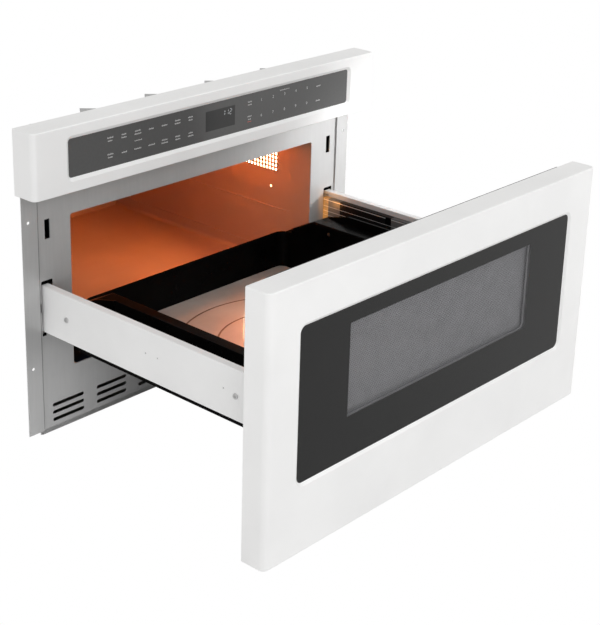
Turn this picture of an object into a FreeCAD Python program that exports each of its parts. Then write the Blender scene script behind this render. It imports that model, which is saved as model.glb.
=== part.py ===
"""Built-in microwave drawer, shown with its drawer pulled out.

Millimetres. While it is being modelled the origin lies on the floor, midway across the appliance,
in the plane of the sheet-metal front plate. +X is to the right for someone who faces the appliance,
-Y is towards that person and +Z is up. The last step moves everything along Y, so that the written
pieces have their origin at the bottom centre of the whole appliance with its drawer out.
"""
import FreeCAD, Part
import math
import os

from FreeCAD import Vector as V

# ---------------------------------------------------------------- overall sizes
WIDTH = 606.4              # control panel and drawer front, side to side
FRONT_HEIGHT = 319.0       # drawer front
PANEL_HEIGHT = 81.5        # control panel
REVEAL = 2.5               # gap between the drawer front and the control panel
FLOOR_GAP = 1.0            # drawer front above the floor
FACE_DEPTH = 39.0          # front plate to the outer face of the panel and the closed drawer
BODY_DEPTH = 556.0         # front plate to the back panel's outer face
SIDE_LAP = 30.6            # front overhangs the recessed plate on each side
CASE_LAP = 1.4             # case is wider than the recessed plate on each side
CASE_DROP = 30.0           # case top below the top of the control panel

# ---------------------------------------------------------------- travel of the drawer
TRAVEL_SHOWN = 368.0       # how far the drawer is out as modelled
CLOSED_GAP = 3.5           # drawer front to front plate when closed

# ---------------------------------------------------------------- stock and clearances
SHEET = 1.0                # case, plate and liner steel
RUN_GAP = 0.4              # between pieces that slide past each other
SEAT_GAP = 0.3             # between a moving piece and what it rests against
CORNER_R = 7.2             # upright corners of the panel and the drawer front
EDGE_R = 1.4               # softened outer edges of the painted pieces

# ---------------------------------------------------------------- front plate
FLANGE_REACH = 22.1        # side flange beyond the recessed plate
FLANGE_STEP = 2.5          # side flange stands this far in front of the plate
PLATE_BOTTOM = 6.2         # lower edge of the plate above the floor
SCREW_HOLE_R = 2.1         # cabinet screw holes in the flanges
SCREW_INSET = 9.7          # hole centre in from the flange's outer edge
SCREW_LOW = 95.0           # lower pair of holes above the floor
SCREW_RISE = 189.5         # upper pair above the lower pair
VENT_LENGTH = 50.4         # air slots along the bottom of the plate
VENT_SLOT = 4.8
VENT_PITCH = 10.1
VENT_ROWS = 3
VENT_LOW = 14.7            # lowest row of slots above the floor
VENT_GROUP_PITCH = 71.5
VENT_GROUPS = 3            # groups of slots on each side of the middle
VENT_OUTER = 230.3         # centre of the outermost group
LATCH_INSET = 17.2         # latch slot's centre in from the edge of the recessed plate
LATCH_SLOT_WIDE = 8.0
LATCH_SLOT_LOW = 256.8
LATCH_SLOT_TALL = 25.2

# ---------------------------------------------------------------- oven cavity
CAVITY_INSET = 52.6        # cavity wall in from the edge of the recessed plate
CAVITY_TALL = 200.0
CAVITY_DEEP = 420.0
CAVITY_LOW = 80.0          # underside of the cavity's opening above the floor
CAVITY_R = 6.0             # pressed corners
MOUTH_R = 3.0              # corners of the opening in the plate
EMBOSS = 1.8               # depth of the pressed panels in its walls
EMBOSS_R = 11.0            # their corners
EMBOSS_Y = 212.0           # their middle behind the plate
EMBOSS_LONG = 356.0
SIDE_EMBOSS = ((176.0, 22.0), (122.0, 48.0))   # side panels: middle above the floor, height
BACK_EMBOSS_WIDE = 300.0
BACK_EMBOSS_TALL = 124.0
SENSOR_HOLE_R = 2.2
SENSOR_HOLE_Y = 77.0
SENSOR_HOLE_Z = 196.0
LAMP_HOLE = 3.4            # perforation in front of the lamp, across flats
LAMP_HOLE_PITCH = 6.0
LAMP_COLUMNS = 11
LAMP_ROWS = 7
LAMP_Y = 98.0              # middle of the perforated patch
LAMP_Z = 241.0
STIRRER_HOLE_R = 82.0      # feed opening in the ceiling
STIRRER_Y = 210.0          # middle of that opening, behind the plate

# ---------------------------------------------------------------- case, base and back panel
PAN_WALL_TALL = 14.0       # upturned edges of the base
RIB_PITCH = 150.0          # pressed ribs of the base
RIB_HALF = 9.0
RIB_LONG = 340.0
RIB_TALL = 3.5
RIB_Y = 240.0
LOUVRE_ROWS = 5
LOUVRE_PITCH = 12.0
LOUVRE_SLOT = 4.0
LOUVRE_LONG = 80.0
LOUVRE_LOW = 60.0
LOUVRE_Y = 440.0
GRILLE_COLUMNS = 4         # slots of the back panel's two grilles
GRILLE_ROWS = 9
GRILLE_PITCH_X = 38.0
GRILLE_LONG = 30.0
GRILLE_SLOT = 5.0
GRILLE_RIGHT = (110.0, 170.0)
GRILLE_LEFT = (-224.0, 200.0)
GLAND_R = 9.0              # hole for the supply lead's bushing
GLAND_BORE = 5.0
GLAND_LIP = 3.0
GLAND_LONG = 10.0
GLAND_INSET = 49.0         # its middle in from the case's right side
GLAND_Z = 40.0

# ---------------------------------------------------------------- microwave feed
CHAMBER_TALL = 20.0
CHAMBER_LIP = 14.0
COVER_LAP = 9.0            # mica cover beyond the ceiling opening
COVER_T = 1.6
PORT_WIDE = 60.0           # opening between waveguide and chamber
PORT_FROM = 30.0           # its ends behind the stirrer's axis
PORT_TO = 66.0
STIRRER_LIFT = 2.0
STIRRER_HUB_R = 9.0
STIRRER_HUB_TALL = 10.0
STIRRER_BLADES = 4
BLADE_WIDE = 32.0
BLADE_T = 1.2
BLADE_PITCH = 12.0
STIRRER_MOTOR_R = 24.0
STIRRER_MOTOR_TALL = 20.0
STIRRER_MOTOR_LIFT = 3.0
GUIDE_HALF = 42.0
GUIDE_TALL = 34.0
GUIDE_BEYOND = 40.0
MAGNETRON_Y = 486.0
YOKE_HALF = 44.0
YOKE_DEEP = 68.0
YOKE_T = 2.0
ANTENNA_R = 13.0
ANTENNA_TALL = 16.0
ANODE_R = 20.0
FIN_COUNT = 9
FIN_PITCH = 5.0
FIN_T = 0.8
FILTER_HALF = 26.0
FILTER_TALL = 24.0

# ---------------------------------------------------------------- cooling fan
FAN_HALF = 57.0
FAN_DEEP = 36.0
FAN_RIM = 3.0
FAN_CORNER_R = 7.0
FAN_X = -112.0
FAN_Y = 490.0
FAN_DROP = 55.0            # fan's axis below the top of the stirrer chamber
FAN_MOTOR_R = 19.0
FAN_MOTOR_LONG = 14.0
FAN_HUB_LONG = 14.0
FAN_BLADES = 7
FAN_BLADE_ANGLE = 52.0

# ---------------------------------------------------------------- electrics and lamp
CORE_INSET = 60.0          # transformer core in from the case's left side
CORE_Y = 460.0
CORE_WIDE = 102.0
CORE_DEEP = 58.0
CORE_TALL = 86.0
FOOT_T = 2.0
FOOT_EAR = 12.0
COIL_SPLIT = 2.0
COIL_OUT = 13.0
CAN_GAP = 35.0             # capacitor beside the transformer core
CAN_Y = 478.0
CAN_WIDE = 34.0
CAN_LONG = 54.0
CAN_TALL = 100.0
STRAP_T = 1.2
STRAP_TALL = 23.0
FILTER_INSET = 24.0        # filter board in from the case's right side
FILTER_Z = 70.0
FILTER_WIDE = 100.0
FILTER_HIGH = 70.0
FILTER_POST = 8.0
BOARD_T = 1.6
FILTER_POST_R = 3.0
FILTER_POST_INSET = 6.0    # posts in from the board's edges
CHOKE_RING_R = 13.0
CHOKE_WIRE_R = 5.0
CHOKE_RING_X = 28.0        # its middle from the board's lower left corner
CHOKE_RING_Z = 35.0
FUSE_R = 3.2
FUSE_LONG = 26.0
FUSE_X = 50.0              # its left end from that corner
FUSE_Z = 16.0
SUPPRESSOR_X = 54.0        # suppressors from that corner
SUPPRESSOR_WIDE = 28.0
SUPPRESSOR_DEEP = 13.0
SUPPRESSOR_TALL = 10.0
SUPPRESSOR_LOWS = (28.0, 46.0)
LAMP_BORDER = 12.0
LAMP_OUT = 16.0
SOCKET_R = 10.0
SOCKET_LONG = 20.0
BULB_R = 11.0
BULB_CAP_LONG = 14.0

# ---------------------------------------------------------------- rails and slides
RAIL_INSET = 7.6           # outer face of each rail in from the edge of the recessed plate
RAIL_TALL = 61.0
RAIL_LOW = 137.8           # lower edge of the rails above the floor
RAIL_FLANGE = 10.0
RAIL_SHEET = 1.2
RAIL_TAIL = 60.0           # rail left inside the body when the drawer is out
SLOT_MARGIN = 2.2          # slot in the plate beyond the rail
SLIDE_TALL = 45.0
SLIDE_SHEET = 1.2
SLIDE_DEEP = 12.0          # width of the fixed slide member
FIXED_SLIDE_LONG = 410.0
MIDDLE_SLIDE_LONG = 380.0
INNER_SLIDE_LONG = 410.0
MIDDLE_SHALLOWER = 2.0     # middle member's flanges end this far short of the fixed member's
INNER_SHALLOWER = 1.0
MIDDLE_SETBACK = 3.0       # front ends of the members behind their mounting planes
INNER_SETBACK = 8.0
STOP_T = 2.0
STOP_LONG = 9.0
STOP_HALF = 8.0
SLIDE_PLATE_T = 1.5        # bracket behind each fixed member
SLIDE_PLATE_HALF = 17.0
SLIDE_HOLE_R = 3.0
SLIDE_HOLE_Y = 60.0
SLIDE_HOLE_PITCH = 100.0
SLIDE_HOLES = 4
FRONT_TAB_GAP = 8.0
RAIL_EDGE_R = 1.0
DIMPLES = (-182.7, -202.5, -307.0)
DIMPLE_R = 1.1
DIMPLE_DEEP = 0.5
DIMPLE_RISE = 2.0
END_PLATE_WIDE = 32.0      # plate that joins each rail to the drawer front
END_PLATE_T = 2.0
RAIL_SCREWS = (-43.7, -326.0)
RAIL_SCREW_DROP = 1.0
SCREW_HEAD_R = 3.4
SCREW_HEAD_T = 1.6
CROSS_LONG = 4.0           # cross recess of the screw heads
CROSS_WIDE = 1.0

# ---------------------------------------------------------------- drawer pan
PAN_FIT = 3.0              # flanges clear the cavity wall by this much
PAN_LEDGE = 30.0           # width of each side flange
PAN_WALL = 1.6
PAN_LOW = 84.0             # underside of the basin above the floor
PAN_RIM = 150.0            # top of its back wall above the floor
PAN_BACK = 394.0           # basin, front to back
PAN_R = 14.0               # upright corners of the basin
PAN_FOOT_R = 8.0           # round between its walls and its bottom
PAN_SKIRT = 51.0           # depth of the skirts under the side flanges
LEDGE_LONG = 386.0         # side flanges, front to back
COVER_TOP = 178.0          # top of the side covers above the floor, at their inner edge
COVER_RIM = 188.0          # top of the rim along their outer edge
COVER_RIM_T = 3.0
COVER_LONG = 333.0         # level part of the side covers, front to back
RIM_LONG = 295.0           # level part of the rim, front to back
COVER_R = 20.0             # rounded inner back corner of the side covers
COVER_WALL = 3.0
COVER_INSET = 33.0         # inner face of the covers in from the outer edge of the flange
FLOOR_PLATE_T = 5.0        # ceramic floor
FLOOR_TOP = 97.5           # its top above the floor
FLOOR_INSET = 1.2          # gap all round the ceramic floor
RING_RADII = (150.0, 99.4, 48.0)
BED_INSET = 10.0           # seal under the ceramic floor, in from the basin's walls
BED_WIDE = 8.0
RIVET_R = 2.4
RIVET_OUT = 1.2
RIVETS = ((30.0, 10.0), (78.0, 18.0))   # in front of the cover's slope, below its top
RING_GROOVE = 0.5          # depth of the ring marks
RING_WIDE = 2.0

# ---------------------------------------------------------------- drawer front
FACE_SHEET = 2.5           # painted face round the window
SKIN = 1.4                 # painted sides
GLASS_SIDE = 51.2          # painted border at each side of the window glass
GLASS_UNDER = 84.6         # painted border below it
GLASS_OVER = 51.0          # painted border above it
GLASS_R = 8.0
GLASS_BEVEL = 3.6          # width of the bevel round the glass
GLASS_T = 4.0
GLASS_LAP = 6.0            # glass hidden behind the face
VIEW_SIDE = 80.5           # printed border at each side of the see-through part
VIEW_UNDER = 51.7
VIEW_OVER = 20.0
VIEW_R = 6.0
SCREEN_T = 0.6
SCREEN_LAP = 6.0           # screen and panel opening beyond the see-through part
FRAME_T = 2.0              # spacer frame behind the glass
RIB_OUT = 24.0             # stiffening ring of the folded panel beyond the screen
COLLAR_OUT = 5.0           # inner ring that holds the back glass
CHOKE_DEEP = 20.0          # folded panel behind the window
CHOKE_COVER_T = 2.5        # dark cover that closes the drawer front's back
COVER_SIDE = 31.6          # dark cover stops short of the front's sides, clear of the plate's flanges
COVER_EDGE = 0.8           # and of its top and bottom

# ---------------------------------------------------------------- control panel
TOUCH_SIDE = 53.7          # painted border at each side of the touch glass
TOUCH_UNDER = 17.5         # painted border below it
TOUCH_OVER = 16.5          # and above it
TOUCH_R = 4.0
TOUCH_BEVEL = 4.2
TOUCH_RECESS = 3.0
TOUCH_T = 3.0
DISPLAY_HALF = 26.6
DISPLAY_TALL = 26.6
PANEL_WALL = 2.2
TOUCH_LAP = 4.0            # glass hidden behind the bezel
DISPLAY_T = 7.0
BOARD_INSET = 13.5         # circuit board in from the glass opening's ends
BOARD_POST_INSET = 11.0    # outer posts in from the board's ends
BOARD_POST_INNER = 120.0   # inner posts from the middle
BOARD_POST_R = 3.0
CHIPS = (-80.0, 50.0)      # left edges of the chips and relays on the board
CHIP_SIDE = 16.0
CHIP_T = 2.4
RELAY_INSETS = (98.0, 122.0, 146.0)     # their left edges in from the board's right end
RELAY_WIDE = 18.0
RELAY_DEEP = 15.4
BOARD_ARM_INSET = 36.0     # arms between board and front plate, in from the board's ends
BOARD_ARM_WIDE = 20.0
BOARD_ARM_HALF = 6.0

# ---------------------------------------------------------------- drive
GEAR_MODULE = 2.0
PINION_TEETH = 14
ADDENDUM = 0.8             # in modules
DEDENDUM = 1.0             # in modules
BACKLASH = 0.35            # taken off each tooth
GEAR_WIDE = 8.0
GEAR_INSET = 5.5           # middle of the gear's width in from the rail's outer face
RACK_BACK = 6.0            # solid bar behind the rack's teeth
PINION_Y = 32.0            # pinion axis behind the plate
SHAFT_R = 4.0
PRESSURE_ANGLE = 20.0
RACK_BEYOND = 26.0         # rack reaches this far behind the pinion's axis
GEARBOX_GAP = 2.0          # gearbox clears the pressed cavity wall
GEARBOX_CLEAR = 4.0        # and the slide
GEARBOX_FRONT = 22.0
GEARBOX_BACK = 40.0
GEARBOX_DOWN = 22.0
GEARBOX_UP = 13.0
GEARBOX_R = 5.0
SHAFT_IN = 9.0             # shaft inside the gearbox
MOTOR_R = 12.0
MOTOR_LONG = 52.0
MOTOR_CAP = 5.0
MOTOR_DROP = 6.0
STAND_T = 1.5
STAND_FRONT = 16.0
STAND_BACK = 34.0

# ---------------------------------------------------------------- interlock switches
SWITCH_PLATE_GAP = 12.0    # bracket clears the cavity wall
SWITCH_PLATE_LAP = 3.0     # bracket beyond the latch slot
SWITCH_MARGIN = 12.0       # and above and below it
SWITCH_Y = 38.0
SWITCH_LONG = 20.0
SWITCH_WIDE = 10.0
SWITCH_TALL = 11.0
SWITCH_APART = 14.5        # outer ends of the two switches from the hook's middle
LEVER_T = 1.2
LEG_LONG = 5.0
LEG_T = 1.0
LEG_PITCH = 3.5

# ---------------------------------------------------------------- latch hooks
HOOK_T = 5.0
HOOK_LONG = 33.0
HOOK_TALL = 19.0
HOOK_HEEL = 5.0            # hook in front of its pin
HOOK_BARB = 10.0           # length of the barb at its tip
HOOK_NECK = 5.0            # underside of the arm above the tip of the barb
PIVOT_DEEP = 8.0           # pin in front of the back cover
CHEEK_T = 2.0
CHEEK_OVER = 5.0           # cheeks above and below the hook
FOOT_REACH = 12.0
PIN_R = 2.0
PIN_FIT = 0.05             # radial running clearance

# ---------------------------------------------------------------- derived places
HALF = WIDTH / 2.0
FRONT_TOP = FLOOR_GAP + FRONT_HEIGHT
PANEL_LOW = FRONT_TOP + REVEAL
PANEL_TOP = PANEL_LOW + PANEL_HEIGHT
BODY_HEIGHT = PANEL_TOP - CASE_DROP
PLATE_HALF = HALF - SIDE_LAP
LATCH_SLOT_X = PLATE_HALF - LATCH_INSET
RAIL_OUT = PLATE_HALF - RAIL_INSET
GEAR_X = RAIL_OUT - GEAR_INSET
TOUCH_HALF = HALF - TOUCH_SIDE
TOUCH_LOW = PANEL_LOW + TOUCH_UNDER
TOUCH_TALL = PANEL_HEIGHT - TOUCH_UNDER - TOUCH_OVER
GLASS_HALF = HALF - GLASS_SIDE
GLASS_LOW = FLOOR_GAP + GLASS_UNDER
GLASS_TALL = FRONT_HEIGHT - GLASS_UNDER - GLASS_OVER
VIEW_HALF = GLASS_HALF - VIEW_SIDE
VIEW_LOW = GLASS_LOW + VIEW_UNDER
VIEW_TALL = GLASS_TALL - VIEW_UNDER - VIEW_OVER
FRONT_BACK_Y = -(CLOSED_GAP + TRAVEL_SHOWN)
FRONT_THICK = FACE_DEPTH - CLOSED_GAP
FRONT_FACE_Y = FRONT_BACK_Y - FRONT_THICK
CAVITY_HALF = PLATE_HALF - CAVITY_INSET
CAVITY_TOP = CAVITY_LOW + CAVITY_TALL
CAVITY_MID = CAVITY_LOW + CAVITY_TALL / 2.0
CASE_HALF = PLATE_HALF + CASE_LAP
GLAND_X = CASE_HALF - GLAND_INSET
CORE_X = CORE_INSET - CASE_HALF
CAN_X = CORE_X + CORE_WIDE + CAN_GAP + CAN_WIDE / 2.0
FAN_Z = CAVITY_TOP + SHEET + CHAMBER_TALL - FAN_DROP
PAN_FLANGE = CAVITY_HALF - PAN_FIT
PAN_HALF = PAN_FLANGE - PAN_LEDGE
COVER_IN = PAN_FLANGE - COVER_INSET
RAIL_TOP = RAIL_LOW + RAIL_TALL
RAIL_MID = (RAIL_LOW + RAIL_TOP) / 2.0
LINER_BACK = SHEET + CAVITY_DEEP + SHEET
SLIDE_WEB_X = RAIL_OUT - RAIL_SHEET - SEAT_GAP - SLIDE_DEEP - SLIDE_SHEET
PLATE_HOLE_X = PLATE_HALF + FLANGE_REACH - SCREW_INSET
PINION_R = GEAR_MODULE * PINION_TEETH / 2.0
RACK_PITCH_Z = RAIL_LOW - RACK_BACK
PINION_Z = RACK_PITCH_Z - PINION_R
STIRRER_MOTOR_Z = CAVITY_TOP + SHEET + CHAMBER_TALL + STIRRER_MOTOR_LIFT
GEARBOX_IN = CAVITY_HALF + SHEET + EMBOSS + GEARBOX_GAP
GEARBOX_OUT = SLIDE_WEB_X - GEARBOX_CLEAR
GEARBOX_WIDE = GEARBOX_OUT - GEARBOX_IN
HOOK_Z = LATCH_SLOT_LOW + LATCH_SLOT_TALL / 2.0
HOOK_SEAT_Y = FRONT_BACK_Y - CHOKE_COVER_T
PIVOT_Y = HOOK_SEAT_Y - PIVOT_DEEP
ORIGIN_SHIFT = -(FRONT_FACE_Y + BODY_DEPTH) / 2.0

pieces = {}


# ---------------------------------------------------------------- helpers
def box(x0, x1, y0, y1, z0, z1):
    return Part.makeBox(x1 - x0, y1 - y0, z1 - z0, V(x0, y0, z0))


def mirrored(shape):
    return shape.mirror(V(0, 0, 0), V(1, 0, 0))


def both(shape):
    """The piece and its mirror image on the other side of the appliance."""
    return shape, mirrored(shape)


def fused(shapes):
    shapes = list(shapes)
    whole = shapes[0]
    if len(shapes) > 1:
        whole = whole.multiFuse(shapes[1:])
    return whole.removeSplitter()


def minus(shape, tools):
    tools = list(tools)
    return shape.cut(tools) if tools else shape


def rod(radius, length, at, axis):
    return Part.makeCylinder(radius, length, V(*at), V(*axis))


def round_rect(half_a, half_b, radius):
    """Closed wire of a rectangle with round corners, about the origin of the XY plane."""
    r = min(radius, half_a * 0.999, half_b * 0.999)
    edges = []
    for turn, (a, b) in enumerate(((half_a, half_b), (half_b, half_a), (half_a, half_b), (half_b, half_a))):
        angle = turn * 90.0
        spin = FreeCAD.Rotation(V(0, 0, 1), angle)
        side_from = spin.multVec(V(a, -(b - r), 0))
        side_to = spin.multVec(V(a, b - r, 0))
        mid = spin.multVec(V(a - r + r * math.sqrt(0.5), b - r + r * math.sqrt(0.5), 0))
        end = spin.multVec(V(a - r, b, 0))
        edges.append(Part.LineSegment(side_from, side_to).toShape())
        edges.append(Part.Arc(side_to, mid, end).toShape())
    return Part.Wire(edges)


def upright_prism(cx, cy, half_x, half_y, radius, z0, z1):
    """Round-cornered block with upright corners."""
    face = Part.Face(round_rect(half_x, half_y, radius))
    solid = face.extrude(V(0, 0, z1 - z0))
    solid.translate(V(cx, cy, z0))
    return solid


def facing_prism(cx, cz, half_x, half_z, radius, y0, y1):
    """Round-cornered block whose outline faces the user."""
    face = Part.Face(round_rect(half_x, half_z, radius))
    solid = face.extrude(V(0, 0, y1 - y0))
    solid.rotate(V(0, 0, 0), V(1, 0, 0), 90)
    solid.translate(V(cx, y1, cz))
    return solid


def facing_taper(cx, cz, half_x, half_z, radius, widen, y0, y1):
    """Opening that is wider by `widen` on every side at y0 than at y1."""
    wires = []
    for y, more in ((y0, widen), (y1, 0.0)):
        wire = round_rect(half_x + more, half_z + more, radius + more)
        wire.rotate(V(0, 0, 0), V(1, 0, 0), 90)
        wire.translate(V(cx, y, cz))
        wires.append(wire)
    return Part.makeLoft(wires, True, True)


def long_slot(cx, cz, length, wide, y0, y1):
    return facing_prism(cx, cz, length / 2.0, wide / 2.0, wide / 2.0, y0, y1)


def plan_block(half, y_front, y_back, z0, z1, radius, inset=0.0):
    """Block whose two upright front corners are round, as seen from above."""
    a = half - inset
    f = y_front + inset
    r = max(radius - inset, 0.4)
    k = r * math.sqrt(0.5)
    points = (V(-a, y_back, z0), V(-a, f + r, z0), V(-a + r - k, f + r - k, z0), V(-a + r, f, z0),
              V(a - r, f, z0), V(a - r + k, f + r - k, z0), V(a, f + r, z0), V(a, y_back, z0))
    edges = [Part.LineSegment(points[0], points[1]).toShape(),
             Part.Arc(points[1], points[2], points[3]).toShape(),
             Part.LineSegment(points[3], points[4]).toShape(),
             Part.Arc(points[4], points[5], points[6]).toShape(),
             Part.LineSegment(points[6], points[7]).toShape(),
             Part.LineSegment(points[7], points[0]).toShape()]
    return Part.Face(Part.Wire(edges)).extrude(V(0, 0, z1 - z0))


def softened(shape, picks, radius):
    """Fillets the edges that `picks` accepts."""
    edges = [edge for edge in shape.Edges if picks(edge)]
    return shape.makeFillet(radius, edges) if edges else shape


def channel(web_x, depth, z_mid, tall, wall, y0, y1):
    """C-shaped section along Y: its web stands at web_x and its flanges reach `depth` outwards."""
    low = z_mid - tall / 2.0
    high = z_mid + tall / 2.0
    outer = box(web_x, web_x + depth, y0, y1, low, high)
    inner = box(web_x + wall, web_x + depth + 1.0, y0 - 1.0, y1 + 1.0, low + wall, high - wall)
    return outer.cut(inner)


def keep(name, shape):
    pieces[name] = shape


# ---------------------------------------------------------------- body: sheet metal
def front_plate():
    plate = box(-PLATE_HALF, PLATE_HALF, 0, SHEET, PLATE_BOTTOM, BODY_HEIGHT)
    web = box(PLATE_HALF - SHEET, PLATE_HALF, -FLANGE_STEP, SHEET, PLATE_BOTTOM, BODY_HEIGHT)
    flange = box(PLATE_HALF - SHEET, PLATE_HALF + FLANGE_REACH, -FLANGE_STEP, SHEET - FLANGE_STEP,
                 PLATE_BOTTOM, BODY_HEIGHT)
    shape = fused([plate, web, mirrored(web), flange, mirrored(flange)])
    front = -FLANGE_STEP - 1.0
    back = SHEET + 1.0
    cuts = [facing_prism(0, CAVITY_MID, CAVITY_HALF, CAVITY_TALL / 2.0, MOUTH_R, front, back)]
    slot_out = RAIL_OUT + SLOT_MARGIN
    slot_in = SLIDE_WEB_X - SHEET
    slot_top = RAIL_TOP + 2.5 * SLOT_MARGIN
    slot_mid = (slot_out + slot_in) / 2.0
    rack_room = RACK_BACK + GEAR_MODULE * (ADDENDUM + 1.0) + SLOT_MARGIN
    for side, low in ((-1, RAIL_LOW - 0.8), (1, RAIL_LOW - rack_room)):
        cuts.append(facing_prism(side * slot_mid, (slot_top + low) / 2.0, (slot_out - slot_in) / 2.0,
                                 (slot_top - low) / 2.0, 2.0, front, back))
        cuts.append(facing_prism(side * (slot_out + 1.0), RAIL_MID + 1.8, 3.4, 6.0, 0.6, front, back))
        cuts.append(facing_prism(side * LATCH_SLOT_X, LATCH_SLOT_LOW + LATCH_SLOT_TALL / 2.0,
                                 LATCH_SLOT_WIDE / 2.0, LATCH_SLOT_TALL / 2.0, 0.8, front, back))
        for rise in (0.0, SCREW_RISE):
            cuts.append(rod(SCREW_HOLE_R, 6.0, (side * PLATE_HOLE_X, front, SCREW_LOW + rise), (0, 1, 0)))
        for group in range(VENT_GROUPS):
            centre = side * (VENT_OUTER - group * VENT_GROUP_PITCH)
            for row in range(VENT_ROWS):
                z = VENT_LOW + row * VENT_PITCH
                cuts.append(long_slot(centre, z, VENT_LENGTH, VENT_SLOT, front, back))
    keep("front_plate", minus(shape, cuts))


def base_pan():
    half = CASE_HALF - SHEET - SEAT_GAP
    rear_y = BODY_DEPTH - SHEET
    floor = box(-half, half, 0, rear_y, 0, SHEET)
    lip = box(-half, half, 0, SHEET, 0, PLATE_BOTTOM)
    wall = box(half - SHEET, half, SHEET, rear_y, 0, PAN_WALL_TALL)
    rear = box(-half, half, rear_y - SHEET, rear_y, 0, PAN_WALL_TALL)
    ribs = []
    hollows = []
    for x in (-RIB_PITCH, 0.0, RIB_PITCH):
        ribs.append(upright_prism(x, RIB_Y, RIB_HALF, RIB_LONG / 2.0, RIB_HALF, SHEET - 0.01, RIB_TALL))
        hollows.append(upright_prism(x, RIB_Y, RIB_HALF - SHEET, RIB_LONG / 2.0 - SHEET, RIB_HALF - SHEET,
                                     -SHEET, RIB_TALL - SHEET))
    keep("base_pan", minus(fused([floor, lip, wall, mirrored(wall), rear] + ribs), hollows))


def outer_case():
    """Wrap of top and sides, with louvres beside the fan and the transformer."""
    outer = box(-CASE_HALF, CASE_HALF, SHEET, BODY_DEPTH - SHEET, 0, BODY_HEIGHT)
    cuts = [box(-CASE_HALF + SHEET, CASE_HALF - SHEET, 0, BODY_DEPTH, -1, BODY_HEIGHT - SHEET)]
    for row in range(LOUVRE_ROWS):
        low = LOUVRE_LOW + row * LOUVRE_PITCH
        cuts.append(box(-CASE_HALF - 1, CASE_HALF + 1, LOUVRE_Y, LOUVRE_Y + LOUVRE_LONG,
                        low, low + LOUVRE_SLOT))
    keep("outer_case", minus(outer, cuts))


def rear_panel():
    panel = box(-CASE_HALF, CASE_HALF, BODY_DEPTH - SHEET, BODY_DEPTH, 0, BODY_HEIGHT)
    front = BODY_DEPTH - 2 * SHEET
    back = BODY_DEPTH + SHEET
    cuts = [rod(GLAND_R, 3 * SHEET, (GLAND_X, front, GLAND_Z), (0, 1, 0))]
    for first_x, first_z in (GRILLE_RIGHT, GRILLE_LEFT):
        for column in range(GRILLE_COLUMNS):
            for row in range(GRILLE_ROWS):
                cuts.append(long_slot(first_x + column * GRILLE_PITCH_X, first_z + row * LOUVRE_PITCH,
                                      GRILLE_LONG, GRILLE_SLOT, front, back))
    keep("rear_panel", minus(panel, cuts))


def inlet_gland():
    """Bushing for the supply lead, with a groove that the panel's edge sits in."""
    head = GLAND_R + GLAND_LIP
    profile = [V(GLAND_BORE, 0, 0), V(head, 0, 0), V(head, 0, GLAND_LIP), V(GLAND_R, 0, GLAND_LIP),
               V(GLAND_R, 0, GLAND_LIP + SHEET), V(head, 0, GLAND_LIP + SHEET),
               V(GLAND_R, 0, GLAND_LONG), V(GLAND_BORE, 0, GLAND_LONG), V(GLAND_BORE, 0, 0)]
    ring = Part.Face(Part.makePolygon(profile)).revolve(V(0, 0, 0), V(0, 0, 1), 360)
    ring.rotate(V(0, 0, 0), V(1, 0, 0), -90)
    ring.translate(V(GLAND_X, BODY_DEPTH - SHEET - GLAND_LIP, GLAND_Z))
    keep("inlet_gland", ring)


# ---------------------------------------------------------------- body: oven cavity
def wall_panel(cy, cz, half_y, half_z, depth):
    """Pressed panel in the right-hand wall, as a block that reaches `depth` beyond the inner face."""
    face = Part.Face(round_rect(half_y, half_z, EMBOSS_R))
    solid = face.extrude(V(0, 0, depth + SHEET))
    solid.rotate(V(0, 0, 0), V(1, 1, 1), 120)
    solid.translate(V(CAVITY_HALF - SHEET, cy, cz))
    return solid


def cavity_liner():
    half_z = CAVITY_TALL / 2.0
    outer = facing_prism(0, CAVITY_MID, CAVITY_HALF + SHEET, half_z + SHEET, CAVITY_R + SHEET,
                         SHEET, LINER_BACK)
    inner = facing_prism(0, CAVITY_MID, CAVITY_HALF, half_z, CAVITY_R, 0, LINER_BACK - SHEET)
    adds = []
    cuts = [inner]
    for cz, tall in SIDE_EMBOSS:
        out = wall_panel(EMBOSS_Y, cz, EMBOSS_LONG / 2.0 + SHEET, tall / 2.0 + SHEET, EMBOSS + SHEET)
        pressed = wall_panel(EMBOSS_Y, cz, EMBOSS_LONG / 2.0, tall / 2.0, EMBOSS)
        adds += both(out)
        cuts += both(pressed)
    back_x = BACK_EMBOSS_WIDE / 2.0
    back_z = BACK_EMBOSS_TALL / 2.0
    adds.append(facing_prism(0, CAVITY_MID, back_x + SHEET, back_z + SHEET, 2 * EMBOSS_R,
                             LINER_BACK - SHEET, LINER_BACK + EMBOSS))
    cuts.append(facing_prism(0, CAVITY_MID, back_x, back_z, 2 * EMBOSS_R - SHEET,
                             LINER_BACK - 2 * SHEET, LINER_BACK + EMBOSS - SHEET))
    wall = (CAVITY_HALF - SHEET, CAVITY_HALF + 2 * SHEET)
    half = LAMP_HOLE / 2.0
    for column in range(LAMP_COLUMNS):
        for row in range(LAMP_ROWS):
            y = LAMP_Y + (column - (LAMP_COLUMNS - 1) / 2.0) * LAMP_HOLE_PITCH
            z = LAMP_Z + (row - (LAMP_ROWS - 1) / 2.0) * LAMP_HOLE_PITCH
            cuts.append(box(wall[0], wall[1], y - half, y + half, z - half, z + half))
    cuts.append(rod(SENSOR_HOLE_R, 3 * SHEET, (wall[0], SENSOR_HOLE_Y, SENSOR_HOLE_Z), (1, 0, 0)))
    cuts.append(rod(STIRRER_HOLE_R, 3 * SHEET, (0, STIRRER_Y, CAVITY_TOP - SHEET), (0, 0, 1)))
    keep("cavity_liner", minus(fused([outer] + adds), cuts))


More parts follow.
